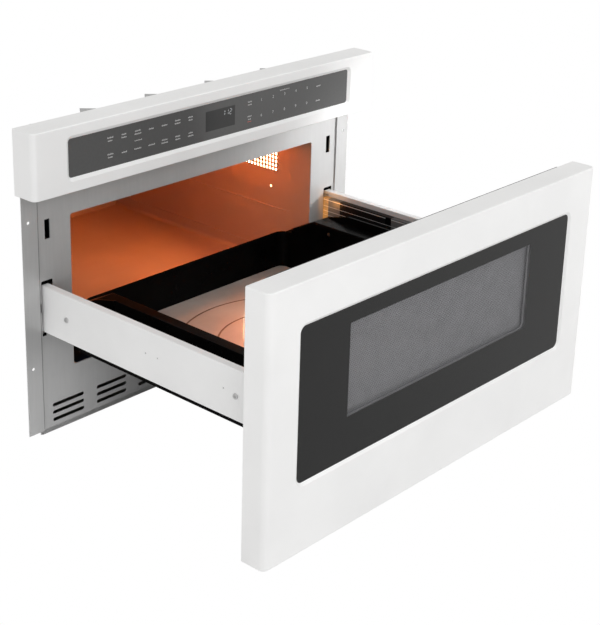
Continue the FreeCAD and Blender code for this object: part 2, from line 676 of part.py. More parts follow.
def stirrer_parts():
    """Chamber over the ceiling opening, with a bladed stirrer that its motor turns from above."""
    cover = rod(STIRRER_HOLE_R + COVER_LAP, COVER_T, (0, STIRRER_Y, CAVITY_TOP - COVER_T), (0, 0, 1))
    cover = softened(cover, lambda e: e.BoundBox.ZMax < CAVITY_TOP - COVER_T / 2.0, COVER_T / 2.0)
    keep("stirrer_cover", cover)
    low = CAVITY_TOP + SHEET
    dome = rod(STIRRER_HOLE_R + CHAMBER_LIP, CHAMBER_TALL, (0, STIRRER_Y, low), (0, 0, 1))
    room = rod(STIRRER_HOLE_R, CHAMBER_TALL - SHEET, (0, STIRRER_Y, low - 0.5), (0, 0, 1))
    port = box(-PORT_WIDE / 2.0, PORT_WIDE / 2.0, STIRRER_Y + PORT_FROM, STIRRER_Y + PORT_TO,
               low + SHEET, low + 2 * CHAMBER_TALL)
    shaft_hole = rod(SHAFT_R + RUN_GAP, 2 * CHAMBER_TALL, (0, STIRRER_Y, low), (0, 0, 1))
    keep("stirrer_chamber", minus(dome, [room, port, shaft_hole]))
    hub_z = low + STIRRER_LIFT
    parts = [rod(STIRRER_HUB_R, STIRRER_HUB_TALL, (0, STIRRER_Y, hub_z), (0, 0, 1)),
             rod(SHAFT_R, STIRRER_MOTOR_Z - hub_z - SEAT_GAP, (0, STIRRER_Y, hub_z), (0, 0, 1))]
    for turn in range(STIRRER_BLADES):
        blade = box(SHAFT_R, STIRRER_HOLE_R - 12.0, -BLADE_WIDE / 2.0, BLADE_WIDE / 2.0, 0, BLADE_T)
        blade = softened(blade, lambda e: abs(e.tangentAt(e.FirstParameter).z) > 0.9
                         and e.BoundBox.XMin > 2 * SHAFT_R, BLADE_WIDE * 0.28)
        blade.rotate(V(0, 0, 0), V(1, 0, 0), BLADE_PITCH)
        blade.rotate(V(0, 0, 0), V(0, 0, 1), 360.0 / STIRRER_BLADES * turn)
        blade.translate(V(0, STIRRER_Y, hub_z + STIRRER_HUB_TALL / 2.0))
        parts.append(blade)
    keep("stirrer_fan", fused(parts))
    motor = rod(STIRRER_MOTOR_R, STIRRER_MOTOR_TALL, (0, STIRRER_Y, STIRRER_MOTOR_Z), (0, 0, 1))
    neck = rod(STIRRER_HUB_R, STIRRER_MOTOR_Z - low - CHAMBER_TALL, (0, STIRRER_Y, low + CHAMBER_TALL),
               (0, 0, 1))
    neck = neck.cut(shaft_hole)
    ear = STIRRER_MOTOR_R + 10.0
    ears = upright_prism(0, STIRRER_Y, ear, 6.0, 5.9, STIRRER_MOTOR_Z, STIRRER_MOTOR_Z + 1.5)
    keep("stirrer_motor", fused([motor, neck, ears]))


def waveguide():
    """Rectangular duct from the magnetron's antenna to the stirrer chamber."""
    low = CAVITY_TOP + SHEET + CHAMBER_TALL
    front = STIRRER_Y + STIRRER_MOTOR_R + 2.0
    back = MAGNETRON_Y + GUIDE_BEYOND
    guide = box(-GUIDE_HALF, GUIDE_HALF, front, back, low, low + GUIDE_TALL)
    hollow = box(-GUIDE_HALF + SHEET, GUIDE_HALF - SHEET, front + SHEET, back - SHEET,
                 low + SHEET, low + GUIDE_TALL - SHEET)
    port = box(-PORT_WIDE / 2.0, PORT_WIDE / 2.0, STIRRER_Y + PORT_FROM, STIRRER_Y + PORT_TO,
               low - SHEET, low + 1.5 * SHEET)
    antenna_hole = rod(ANTENNA_R + 2.0, 3 * SHEET, (0, MAGNETRON_Y, low - SHEET), (0, 0, 1))
    keep("waveguide", minus(guide, [hollow, port, antenna_hole]))


def magnetron():
    """Anode block with pressed cooling fins between two yoke plates, and its antenna dome."""
    top = CAVITY_TOP + SHEET + CHAMBER_TALL
    half_y = YOKE_DEEP / 2.0
    fin_low = top - FIN_COUNT * FIN_PITCH - YOKE_T
    base = fin_low - FIN_PITCH - YOKE_T
    shapes = [box(-YOKE_HALF, YOKE_HALF, MAGNETRON_Y - half_y, MAGNETRON_Y + half_y, top - YOKE_T, top),
              box(-YOKE_HALF, YOKE_HALF, MAGNETRON_Y - half_y, MAGNETRON_Y + half_y, base, base + YOKE_T),
              rod(ANTENNA_R, ANTENNA_TALL, (0, MAGNETRON_Y, top), (0, 0, 1)),
              rod(ANODE_R, top - base, (0, MAGNETRON_Y, base), (0, 0, 1)),
              upright_prism(0, MAGNETRON_Y, FILTER_HALF, FILTER_HALF, 3.0, base - FILTER_TALL, base)]
    for level in range(FIN_COUNT):
        z = fin_low + level * FIN_PITCH
        shapes.append(box(-YOKE_HALF + YOKE_T, YOKE_HALF - YOKE_T, MAGNETRON_Y - half_y + YOKE_T,
                          MAGNETRON_Y + half_y - YOKE_T, z, z + FIN_T))
    for y in (MAGNETRON_Y - half_y, MAGNETRON_Y + half_y - YOKE_T):
        shapes.append(box(-YOKE_HALF, YOKE_HALF, y, y + YOKE_T, base, top))
    keep("magnetron", fused(shapes))


# ---------------------------------------------------------------- body: cooling
def cooling_fan():
    """Axial fan: a square frame with three arms, its motor on them, and a seven-bladed wheel."""
    x1 = FAN_X + FAN_DEEP
    frame = box(FAN_X, x1, FAN_Y - FAN_HALF, FAN_Y + FAN_HALF, FAN_Z - FAN_HALF, FAN_Z + FAN_HALF)
    frame = softened(frame, lambda e: abs(e.tangentAt(e.FirstParameter).x) > 0.9, FAN_CORNER_R)
    bore_r = FAN_HALF - FAN_RIM
    cuts = [rod(bore_r, FAN_DEEP + 2.0, (FAN_X - 1.0, FAN_Y, FAN_Z), (1, 0, 0))]
    corner = FAN_HALF - FAN_CORNER_R
    for dy in (-corner, corner):
        for dz in (-corner, corner):
            cuts.append(rod(SCREW_HOLE_R, FAN_DEEP + 2.0, (FAN_X - 1.0, FAN_Y + dy, FAN_Z + dz), (1, 0, 0)))
    arms = []
    for turn in range(3):
        arm = box(0, 3.0, -3.0, 3.0, 0, bore_r + 1.0)
        arm.rotate(V(0, 0, 0), V(1, 0, 0), 120.0 * turn + 15.0)
        arm.translate(V(FAN_X, FAN_Y, FAN_Z))
        arms.append(arm)
    motor = rod(FAN_MOTOR_R, FAN_MOTOR_LONG, (FAN_X, FAN_Y, FAN_Z), (1, 0, 0))
    keep("fan_frame", fused([minus(frame, cuts)] + arms).cut(motor))
    hub_x = FAN_X + FAN_MOTOR_LONG
    spindle = rod(SHAFT_R, FAN_HUB_LONG - 2.0, (hub_x, FAN_Y, FAN_Z), (1, 0, 0))
    keep("fan_motor", fused([motor, spindle]))
    hub = rod(FAN_MOTOR_R - 1.0, FAN_HUB_LONG, (hub_x + SEAT_GAP, FAN_Y, FAN_Z), (1, 0, 0))
    hub = hub.cut(rod(SHAFT_R + PIN_FIT, FAN_HUB_LONG - 1.5, (hub_x, FAN_Y, FAN_Z), (1, 0, 0)))
    parts = [hub]
    for turn in range(FAN_BLADES):
        blade = box(-FAN_HUB_LONG / 2.0, FAN_HUB_LONG / 2.0, -1.0, 1.0, FAN_MOTOR_R - 5.0, bore_r - 3.0)
        blade.rotate(V(0, 0, 0), V(0, 0, 1), FAN_BLADE_ANGLE)
        blade.translate(V(hub_x + SEAT_GAP + FAN_HUB_LONG / 2.0, 0, 0))
        blade.rotate(V(0, 0, 0), V(1, 0, 0), 360.0 / FAN_BLADES * turn)
        blade.translate(V(0, FAN_Y, FAN_Z))
        parts.append(blade)
    keep("fan_wheel", fused(parts))


def duct_loop(x, mid_y, half_y, z0, z1):
    front, back = mid_y - half_y, mid_y + half_y
    corners = [V(x, front, z0), V(x, back, z0), V(x, back, z1), V(x, front, z1)]
    return Part.makePolygon(corners + [corners[0]])


def air_duct():
    """Tapered duct from the fan to the fins of the magnetron."""
    x0 = FAN_X + FAN_DEEP
    x1 = -YOKE_HALF - SEAT_GAP
    high = CAVITY_TOP + SHEET + CHAMBER_TALL
    low = high - (FIN_COUNT + 1) * FIN_PITCH - 2 * YOKE_T
    half_y = YOKE_DEEP / 2.0
    skin = Part.makeLoft([duct_loop(x0, FAN_Y, FAN_HALF, FAN_Z - FAN_HALF, FAN_Z + FAN_HALF),
                          duct_loop(x1, MAGNETRON_Y, half_y, low, high)], True, True)
    room = Part.makeLoft([duct_loop(x0 - SHEET, FAN_Y, FAN_HALF - SHEET, FAN_Z - FAN_HALF + SHEET,
                                    FAN_Z + FAN_HALF - SHEET),
                          duct_loop(x1 + SHEET, MAGNETRON_Y, half_y - SHEET, low + SHEET, high - SHEET)],
                         True, True)
    keep("air_duct", skin.cut(room))


# ---------------------------------------------------------------- body: electrics
def power_transformer():
    """Laminated core with two windings round its middle leg, on a foot plate with bolt ears."""
    x0, x1 = CORE_X, CORE_X + CORE_WIDE
    y0, y1 = CORE_Y, CORE_Y + CORE_DEEP
    z0 = SHEET + FOOT_T
    leg = CORE_WIDE / 6.0
    foot = upright_prism((x0 + x1) / 2.0, (y0 + y1) / 2.0, CORE_WIDE / 2.0 + FOOT_EAR, CORE_DEEP / 2.0, 4.0,
                         SHEET, z0)
    holes = [rod(SCREW_HOLE_R, 2 * FOOT_T, (x, (y0 + y1) / 2.0, SHEET - FOOT_T / 2.0), (0, 0, 1))
             for x in (x0 - FOOT_EAR / 2.0, x1 + FOOT_EAR / 2.0)]
    core = box(x0, x1, y0, y1, z0, z0 + CORE_TALL)
    low, high = z0 + leg, z0 + CORE_TALL - leg
    windows = [box(x0 + leg, x0 + 2 * leg, y0 - 1, y1 + 1, low, high),
               box(x1 - 2 * leg, x1 - leg, y0 - 1, y1 + 1, low, high)]
    keep("transformer_core", minus(fused([foot, core]), windows + holes))
    coils = []
    mid = (low + high) / 2.0
    for coil_low, coil_high in ((low + SEAT_GAP, mid - COIL_SPLIT / 2.0),
                                (mid + COIL_SPLIT / 2.0, high - SEAT_GAP)):
        outer = upright_prism((x0 + x1) / 2.0, (y0 + y1) / 2.0, 2 * leg - SEAT_GAP,
                              CORE_DEEP / 2.0 + COIL_OUT, 10.0, coil_low, coil_high)
        inner = box(x0 + 2 * leg, x1 - 2 * leg, y0, y1, coil_low - 1, coil_high + 1)
        coils.append(outer.cut(inner))
    keep("transformer_windings", Part.Compound(coils))


def capacitor_and_strap():
    half_x = CAN_WIDE / 2.0
    half_y = CAN_LONG / 2.0
    low = SHEET + 2.0
    can = upright_prism(CAN_X, CAN_Y, half_x, half_y, half_x * 0.995, low, low + CAN_TALL)
    can = softened(can, lambda e: e.BoundBox.ZMin > low + CAN_TALL - 1.0, 2.0)
    tabs = [box(CAN_X - 4.0, CAN_X + 4.0, CAN_Y + dy - 0.5, CAN_Y + dy + 0.5, low + CAN_TALL - 0.5,
                low + CAN_TALL + 10.0) for dy in (-half_y / 2.0, half_y / 2.0)]
    strap = upright_prism(CAN_X, CAN_Y, half_x + STRAP_T, half_y + STRAP_T, half_x, SHEET, SHEET + STRAP_TALL)
    strap = strap.cut(upright_prism(CAN_X, CAN_Y, half_x, half_y, half_x * 0.995, low,
                                    SHEET + 2 * STRAP_TALL))
    keep("capacitor", fused([can] + tabs))
    keep("capacitor_strap", strap)


def filter_board():
    """Supply filter on posts behind the back panel: ring choke, fuse and two suppressors."""
    back = BODY_DEPTH - SHEET
    y = back - FILTER_POST
    x0, z0 = CASE_HALF - FILTER_INSET - FILTER_WIDE, FILTER_Z
    board = box(x0, x0 + FILTER_WIDE, y - BOARD_T, y, z0, z0 + FILTER_HIGH)
    posts = [rod(FILTER_POST_R, FILTER_POST, (x, y, z), (0, 1, 0))
             for x in (x0 + FILTER_POST_INSET, x0 + FILTER_WIDE - FILTER_POST_INSET)
             for z in (z0 + FILTER_POST_INSET, z0 + FILTER_HIGH - FILTER_POST_INSET)]
    face = y - BOARD_T
    ring = Part.makeTorus(CHOKE_RING_R, CHOKE_WIRE_R,
                          V(x0 + CHOKE_RING_X, face - CHOKE_WIRE_R + 0.1, z0 + CHOKE_RING_Z), V(0, 1, 0))
    fuse = rod(FUSE_R, FUSE_LONG, (x0 + FUSE_X, face - FUSE_R + 0.2, z0 + FUSE_Z), (1, 0, 0))
    left = x0 + SUPPRESSOR_X
    blocks = [box(left, left + SUPPRESSOR_WIDE, face - SUPPRESSOR_DEEP, face,
                  z0 + up, z0 + up + SUPPRESSOR_TALL) for up in SUPPRESSOR_LOWS]
    keep("filter_board", fused([board, ring, fuse] + posts + blocks))


def oven_lamp():
    """Bracket round the perforated patch, with a shelf that carries the socket and its bulb."""
    x = CAVITY_HALF + SHEET
    half_y = LAMP_COLUMNS * LAMP_HOLE_PITCH / 2.0 + LAMP_BORDER
    half_z = LAMP_ROWS * LAMP_HOLE_PITCH / 2.0 + LAMP_BORDER
    edge = LAMP_BORDER - 3.0
    shelf_y = LAMP_Y + half_y
    bulb_x = x + LAMP_OUT
    bracket = box(x, x + SHEET, LAMP_Y - half_y, shelf_y, LAMP_Z - half_z, LAMP_Z + half_z)
    window = box(x - 1, x + 3, LAMP_Y - half_y + edge, shelf_y - edge,
                 LAMP_Z - half_z + edge, LAMP_Z + half_z - edge)
    shelf = box(x, x + 2 * LAMP_OUT, shelf_y - SHEET, shelf_y, LAMP_Z - half_z / 2.0, LAMP_Z + half_z / 2.0)
    socket = rod(SOCKET_R, SOCKET_LONG, (bulb_x, shelf_y - SHEET, LAMP_Z), (0, -1, 0))
    keep("lamp_holder", fused([bracket.cut(window), shelf, socket]))
    cap_y = shelf_y - SHEET - SOCKET_LONG
    cap = rod(BULB_R * 0.68, BULB_CAP_LONG, (bulb_x, cap_y, LAMP_Z), (0, -1, 0))
    globe = Part.makeSphere(BULB_R, V(bulb_x, cap_y - BULB_CAP_LONG - BULB_R * 0.6, LAMP_Z))
    keep("lamp_bulb", fused([cap, globe]))


# ---------------------------------------------------------------- body: control panel
def control_panel():
    mid_z = TOUCH_LOW + TOUCH_TALL / 2.0
    seat = -FLANGE_STEP
    outer = plan_block(HALF, -FACE_DEPTH, seat, PANEL_LOW, PANEL_TOP, CORNER_R)
    outer = softened(outer, lambda e: e.BoundBox.YMax < seat - 1.0 and e.BoundBox.ZLength < 0.1, EDGE_R)
    inner = plan_block(HALF, -FACE_DEPTH, seat + 1, PANEL_LOW + PANEL_WALL, PANEL_TOP - PANEL_WALL, CORNER_R,
                       PANEL_WALL)
    inner = inner.cut(box(-HALF, HALF, -FACE_DEPTH - 1, -FACE_DEPTH + TOUCH_RECESS, 0, PANEL_TOP))
    bevel = facing_taper(0, mid_z, TOUCH_HALF, TOUCH_TALL / 2.0, TOUCH_R, TOUCH_BEVEL,
                         -FACE_DEPTH - 0.01, -FACE_DEPTH + TOUCH_RECESS)
    through = facing_prism(0, mid_z, TOUCH_HALF, TOUCH_TALL / 2.0, TOUCH_R, -FACE_DEPTH, seat)
    keep("control_bezel", minus(outer, [inner, bevel, through]))
    glass_y = -FACE_DEPTH + TOUCH_RECESS
    keep("control_glass", facing_prism(0, mid_z, TOUCH_HALF + TOUCH_LAP, TOUCH_TALL / 2.0 + TOUCH_LAP,
                                       TOUCH_R + TOUCH_LAP, glass_y, glass_y + TOUCH_T))
    display_y = glass_y + TOUCH_T
    board_y = display_y + DISPLAY_T
    keep("display_module", box(-DISPLAY_HALF, DISPLAY_HALF, display_y, board_y,
                               mid_z - DISPLAY_TALL / 2.0, mid_z + DISPLAY_TALL / 2.0))
    board_half = TOUCH_HALF - BOARD_INSET
    board = box(-board_half, board_half, board_y, board_y + BOARD_T, TOUCH_LOW, TOUCH_LOW + TOUCH_TALL)
    back = board_y + BOARD_T
    parts = [board]
    outer_post = board_half - BOARD_POST_INSET
    parts += [rod(BOARD_POST_R, DISPLAY_T, (x, display_y, mid_z), (0, 1, 0))
              for x in (-outer_post, -BOARD_POST_INNER, BOARD_POST_INNER, outer_post)]
    parts += [box(x, x + CHIP_SIDE, back, back + CHIP_T, mid_z - CHIP_SIDE / 2.0, mid_z + CHIP_SIDE / 2.0)
              for x in CHIPS]
    parts += [box(x, x + RELAY_WIDE, back, back + RELAY_DEEP, mid_z - CHIP_SIDE / 2.0,
                  mid_z + CHIP_SIDE / 2.0) for x in (board_half - inset for inset in RELAY_INSETS)]
    keep("control_board", fused(parts))
    arm_x = BOARD_ARM_INSET - board_half
    arm = box(arm_x, arm_x + BOARD_ARM_WIDE, back, 0.0, mid_z - BOARD_ARM_HALF, mid_z + BOARD_ARM_HALF)
    keep("board_brackets", Part.Compound(list(both(arm))))


# ---------------------------------------------------------------- body: slides, switches, drive
def fixed_slides():
    """Outer slide members on their brackets, which stand beside the cavity."""
    end = SHEET + FIXED_SLIDE_LONG
    member = channel(SLIDE_WEB_X, SLIDE_DEEP, RAIL_MID, SLIDE_TALL, SLIDE_SHEET, SHEET, end)
    keep("fixed_slides", Part.Compound(list(both(member))))
    low = RAIL_MID - SLIDE_PLATE_HALF
    high = RAIL_MID + SLIDE_PLATE_HALF
    plate = box(SLIDE_WEB_X - SLIDE_PLATE_T, SLIDE_WEB_X, SHEET, end, low, high)
    tab = box(CAVITY_HALF + FRONT_TAB_GAP, SLIDE_WEB_X, SHEET, SHEET + SLIDE_PLATE_T, low, high)
    rear_tab = box(CAVITY_HALF + SHEET + EMBOSS + SEAT_GAP, SLIDE_WEB_X, end - SLIDE_PLATE_T, end, low, high)
    hole_x = SLIDE_WEB_X - 2 * SLIDE_PLATE_T
    holes = [rod(SLIDE_HOLE_R, 4 * SLIDE_PLATE_T, (hole_x, SLIDE_HOLE_Y + k * SLIDE_HOLE_PITCH, RAIL_MID),
                 (1, 0, 0)) for k in range(SLIDE_HOLES)]
    holes = [hole.common(plate) for hole in holes]
    bracket = minus(fused([plate, tab, rear_tab]), holes)
    keep("slide_brackets", Part.Compound(list(both(bracket))))


def middle_slides():
    """Sliding members halfway between body and drawer, each with a stop at its front end."""
    web = SLIDE_WEB_X + SLIDE_SHEET + RUN_GAP
    depth = SLIDE_DEEP - SLIDE_SHEET - RUN_GAP - MIDDLE_SHALLOWER
    tall = SLIDE_TALL - 2 * (SLIDE_SHEET + RUN_GAP)
    front = SHEET + MIDDLE_SETBACK - TRAVEL_SHOWN / 2.0
    member = channel(web, depth, RAIL_MID, tall, SLIDE_SHEET, front, front + MIDDLE_SLIDE_LONG)
    stop = box(web + SLIDE_SHEET, web + SLIDE_SHEET + STOP_T, front, front + STOP_LONG,
               RAIL_MID - STOP_HALF, RAIL_MID + STOP_HALF)
    member = fused([member, stop])
    keep("middle_slide_right", member)
    keep("middle_slide_left", mirrored(member))


def rails():
    """White rails that carry the drawer, with dimples where the inner members are riveted on."""
    inner_x = RAIL_OUT - RAIL_FLANGE
    outer = box(inner_x, RAIL_OUT, FRONT_BACK_Y, RAIL_TAIL, RAIL_LOW, RAIL_TOP)
    hollow = box(inner_x - 1.0, RAIL_OUT - RAIL_SHEET, FRONT_BACK_Y - 1, RAIL_TAIL + 1,
                 RAIL_LOW + RAIL_SHEET, RAIL_TOP - RAIL_SHEET)
    rail = outer.cut(hollow)
    rail = softened(rail, lambda e: e.BoundBox.XMin > RAIL_OUT - 0.1 and e.BoundBox.YLength > 100.0,
                    RAIL_EDGE_R)
    dimples = [rod(DIMPLE_R, DIMPLE_DEEP, (RAIL_OUT, y, RAIL_MID + DIMPLE_RISE), (-1, 0, 0)) for y in DIMPLES]
    rail = minus(rail, dimples)
    keep("rail_right", rail)
    keep("rail_left", mirrored(rail))
    end_plate = box(RAIL_OUT - RAIL_SHEET - END_PLATE_WIDE, RAIL_OUT - RAIL_SHEET, FRONT_BACK_Y,
                    FRONT_BACK_Y + END_PLATE_T, RAIL_LOW + RAIL_SHEET, RAIL_TOP - RAIL_SHEET)
    keep("rail_brackets", Part.Compound(list(both(end_plate))))
    half = CROSS_LONG / 2.0
    screws = []
    for y in RAIL_SCREWS:
        z = RAIL_MID - RAIL_SCREW_DROP
        head = rod(SCREW_HEAD_R, SCREW_HEAD_T, (RAIL_OUT, y, z), (1, 0, 0))
        cross = [box(RAIL_OUT + SCREW_HEAD_T / 2.0, RAIL_OUT + 2 * SCREW_HEAD_T, y - a, y + a, z - b, z + b)
                 for a, b in ((half, CROSS_WIDE / 2.0), (CROSS_WIDE / 2.0, half))]
        screws += both(minus(head, cross))
    keep("rail_screws", Part.Compound(screws))


def inner_slides():
    """Inner slide members, riveted to the rails and open towards the oven."""
    out = RAIL_OUT - RAIL_SHEET
    tall = SLIDE_TALL - 4 * (SLIDE_SHEET + RUN_GAP)
    depth = SLIDE_DEEP - 2 * (SLIDE_SHEET + RUN_GAP) - INNER_SHALLOWER
    front = FRONT_BACK_Y + INNER_SETBACK
    low = RAIL_MID - tall / 2.0
    high = RAIL_MID + tall / 2.0
    whole = box(out - depth, out, front, front + INNER_SLIDE_LONG, low, high)
    room = box(out - depth - 1.0, out - SLIDE_SHEET, front - 1, front + INNER_SLIDE_LONG + 1,
               low + SLIDE_SHEET, high - SLIDE_SHEET)
    keep("inner_slides", Part.Compound(list(both(whole.cut(room)))))


def gear_outline():
    """Pinion outline with straight-flanked teeth, eased so that it rolls freely in the rack."""
    root = PINION_R - DEDENDUM * GEAR_MODULE
    tip = PINION_R + ADDENDUM * GEAR_MODULE
    thick = math.pi * GEAR_MODULE / 2.0 - BACKLASH
    step = 2 * math.pi / PINION_TEETH
    points = []
    for tooth in range(PINION_TEETH):
        # a tooth points straight up, into a gap of the rack
        centre = math.pi / 2.0 + tooth * step
        for radius, width in ((root, thick * 1.15), (PINION_R, thick * 0.96), (tip, thick * 0.42)):
            points.append((radius, centre - width / 2.0 / radius))
        for radius, width in ((tip, thick * 0.42), (PINION_R, thick * 0.96), (root, thick * 1.15)):
            points.append((radius, centre + width / 2.0 / radius))
    return [V(0, r * math.cos(a), r * math.sin(a)) for r, a in points]


def drive_pinion():
    points = gear_outline()
    gear = Part.Face(Part.makePolygon(points + [points[0]])).extrude(V(GEAR_WIDE, 0, 0))
    gear.translate(V(GEAR_X - GEAR_WIDE / 2.0, PINION_Y, PINION_Z))
    shaft_from = GEARBOX_OUT - SHAFT_IN
    shaft = rod(SHAFT_R, GEAR_X + GEAR_WIDE / 2.0 - shaft_from, (shaft_from, PINION_Y, PINION_Z), (1, 0, 0))
    keep("drive_pinion", fused([gear, shaft]))


def drive_rack():
    """Toothed bar under the right-hand rail, cut to a whole number of pitches round the pinion."""
    end = PINION_Y + RACK_BEYOND
    x = GEAR_X - GEAR_WIDE / 2.0
    bar = box(x, x + GEAR_WIDE, FRONT_BACK_Y, end, RACK_PITCH_Z + DEDENDUM * GEAR_MODULE, RAIL_LOW)
    pitch = math.pi * GEAR_MODULE
    top = RACK_PITCH_Z + DEDENDUM * GEAR_MODULE + 0.01
    bottom = RACK_PITCH_Z - ADDENDUM * GEAR_MODULE
    slope = math.tan(math.radians(PRESSURE_ANGLE))
    half_tooth = (pitch / 2.0 - BACKLASH) / 2.0
    wide = half_tooth + (top - RACK_PITCH_Z) * slope
    narrow = half_tooth - (RACK_PITCH_Z - bottom) * slope
    first = -int((PINION_Y - FRONT_BACK_Y) / pitch)
    last = int(RACK_BEYOND / pitch) - 1
    teeth = []
    for number in range(first, last + 1):
        y = PINION_Y + (number + 0.5) * pitch
        outline = [V(x, y - wide, top), V(x, y + wide, top),
                   V(x, y + narrow, bottom), V(x, y - narrow, bottom)]
        teeth.append(Part.Face(Part.makePolygon(outline + [outline[0]])).extrude(V(GEAR_WIDE, 0, 0)))
    keep("drive_rack", fused([bar] + teeth))


def gearbox_and_motor():
    """Gearbox that carries the pinion's shaft, its motor, and the stand under both."""
    low = PINION_Z - GEARBOX_DOWN
    housing = box(GEARBOX_IN, GEARBOX_OUT, PINION_Y - GEARBOX_FRONT, PINION_Y + GEARBOX_BACK,
                  low, PINION_Z + GEARBOX_UP)
    housing = softened(housing, lambda e: abs(e.tangentAt(e.FirstParameter).x) > 0.9, GEARBOX_R)
    shaft_hole = rod(SHAFT_R + PIN_FIT, GEARBOX_WIDE, (GEARBOX_OUT - SHAFT_IN - 1.0, PINION_Y, PINION_Z),
                     (1, 0, 0))
    keep("gearbox", housing.cut(shaft_hole))
    motor_at = ((GEARBOX_IN + GEARBOX_OUT) / 2.0, PINION_Y + GEARBOX_BACK, PINION_Z - MOTOR_DROP)
    motor = rod(MOTOR_R, MOTOR_LONG, motor_at, (0, 1, 0))
    cap = rod(SHAFT_R, MOTOR_LONG + MOTOR_CAP, motor_at, (0, 1, 0))
    keep("drive_motor", fused([motor, cap]))
    front = PINION_Y - STAND_FRONT
    back = PINION_Y + STAND_BACK
    walls = [box(GEARBOX_IN, GEARBOX_OUT, y, y + STAND_T, SHEET, low) for y in (front, back - STAND_T)]
    decks = [box(GEARBOX_IN, GEARBOX_OUT, front, back, z, z + STAND_T) for z in (SHEET, low - STAND_T)]
    keep("drive_stand", fused(walls + decks))


def interlocks():
    """Bracket behind each latch slot with two stacked microswitches."""
    brackets = []
    switches = []
    x_in = CAVITY_HALF + SWITCH_PLATE_GAP
    x_out = LATCH_SLOT_X + LATCH_SLOT_WIDE / 2.0 + SWITCH_PLATE_LAP
    low = LATCH_SLOT_LOW - SWITCH_MARGIN
    high = LATCH_SLOT_LOW + LATCH_SLOT_TALL + SWITCH_MARGIN
    face = box(x_in, x_out, SHEET, 2 * SHEET, low, high)
    face = face.cut(box(LATCH_SLOT_X - LATCH_SLOT_WIDE / 2.0, LATCH_SLOT_X + LATCH_SLOT_WIDE / 2.0, 0, 3 * SHEET,
                        LATCH_SLOT_LOW, LATCH_SLOT_LOW + LATCH_SLOT_TALL))
    wing = box(x_in, x_in + SHEET, SHEET, SWITCH_Y + SWITCH_LONG + 2.0, low, high)
    brackets += both(fused([face, wing]))
    x = x_in + SHEET
    for z in (HOOK_Z - SWITCH_APART, HOOK_Z + SWITCH_APART - SWITCH_TALL):
        case = box(x, x + SWITCH_WIDE, SWITCH_Y, SWITCH_Y + SWITCH_LONG, z, z + SWITCH_TALL)
        lever = box(x + 3.0, x + SWITCH_WIDE - 3.0, SWITCH_Y - LEVER_T, SWITCH_Y,
                    z + 1.0, z + SWITCH_TALL - 1.0)
        legs = [box(x + 4.0, x + 6.0, SWITCH_Y + SWITCH_LONG, SWITCH_Y + SWITCH_LONG + LEG_LONG,
                    z + SWITCH_TALL / 2.0 + up - LEG_T / 2.0, z + SWITCH_TALL / 2.0 + up + LEG_T / 2.0)
                for up in (-LEG_PITCH, 0.0, LEG_PITCH)]
        switches += both(fused([case, lever] + legs))
    keep("switch_brackets", Part.Compound(brackets))
    keep("interlock_switches", Part.Compound(switches))


# ---------------------------------------------------------------- drawer: front
def drawer_front():
    """Painted front: a folded shell with a bevelled opening for the window glass."""
    face = FRONT_FACE_Y
    back = HOOK_SEAT_Y
    mid_z = GLASS_LOW + GLASS_TALL / 2.0
    outer = plan_block(HALF, face, back, FLOOR_GAP, FRONT_TOP, CORNER_R)
    outer = softened(outer, lambda e: e.BoundBox.YMax < back - 1.0 and e.BoundBox.ZLength < 0.1, EDGE_R)
    room = plan_block(HALF, face, back + 1.0, FLOOR_GAP + SKIN, FRONT_TOP - SKIN, CORNER_R, SKIN)
    room = room.cut(box(-HALF, HALF, face - 1.0, face + FACE_SHEET, 0, FRONT_TOP))
    bevel = facing_taper(0, mid_z, GLASS_HALF, GLASS_TALL / 2.0, GLASS_R, GLASS_BEVEL,
                         face - 0.01, face + FACE_SHEET)
    through = facing_prism(0, mid_z, GLASS_HALF, GLASS_TALL / 2.0, GLASS_R, face, face + 2 * FACE_SHEET)
    keep("drawer_front", minus(outer, [room, bevel, through]))


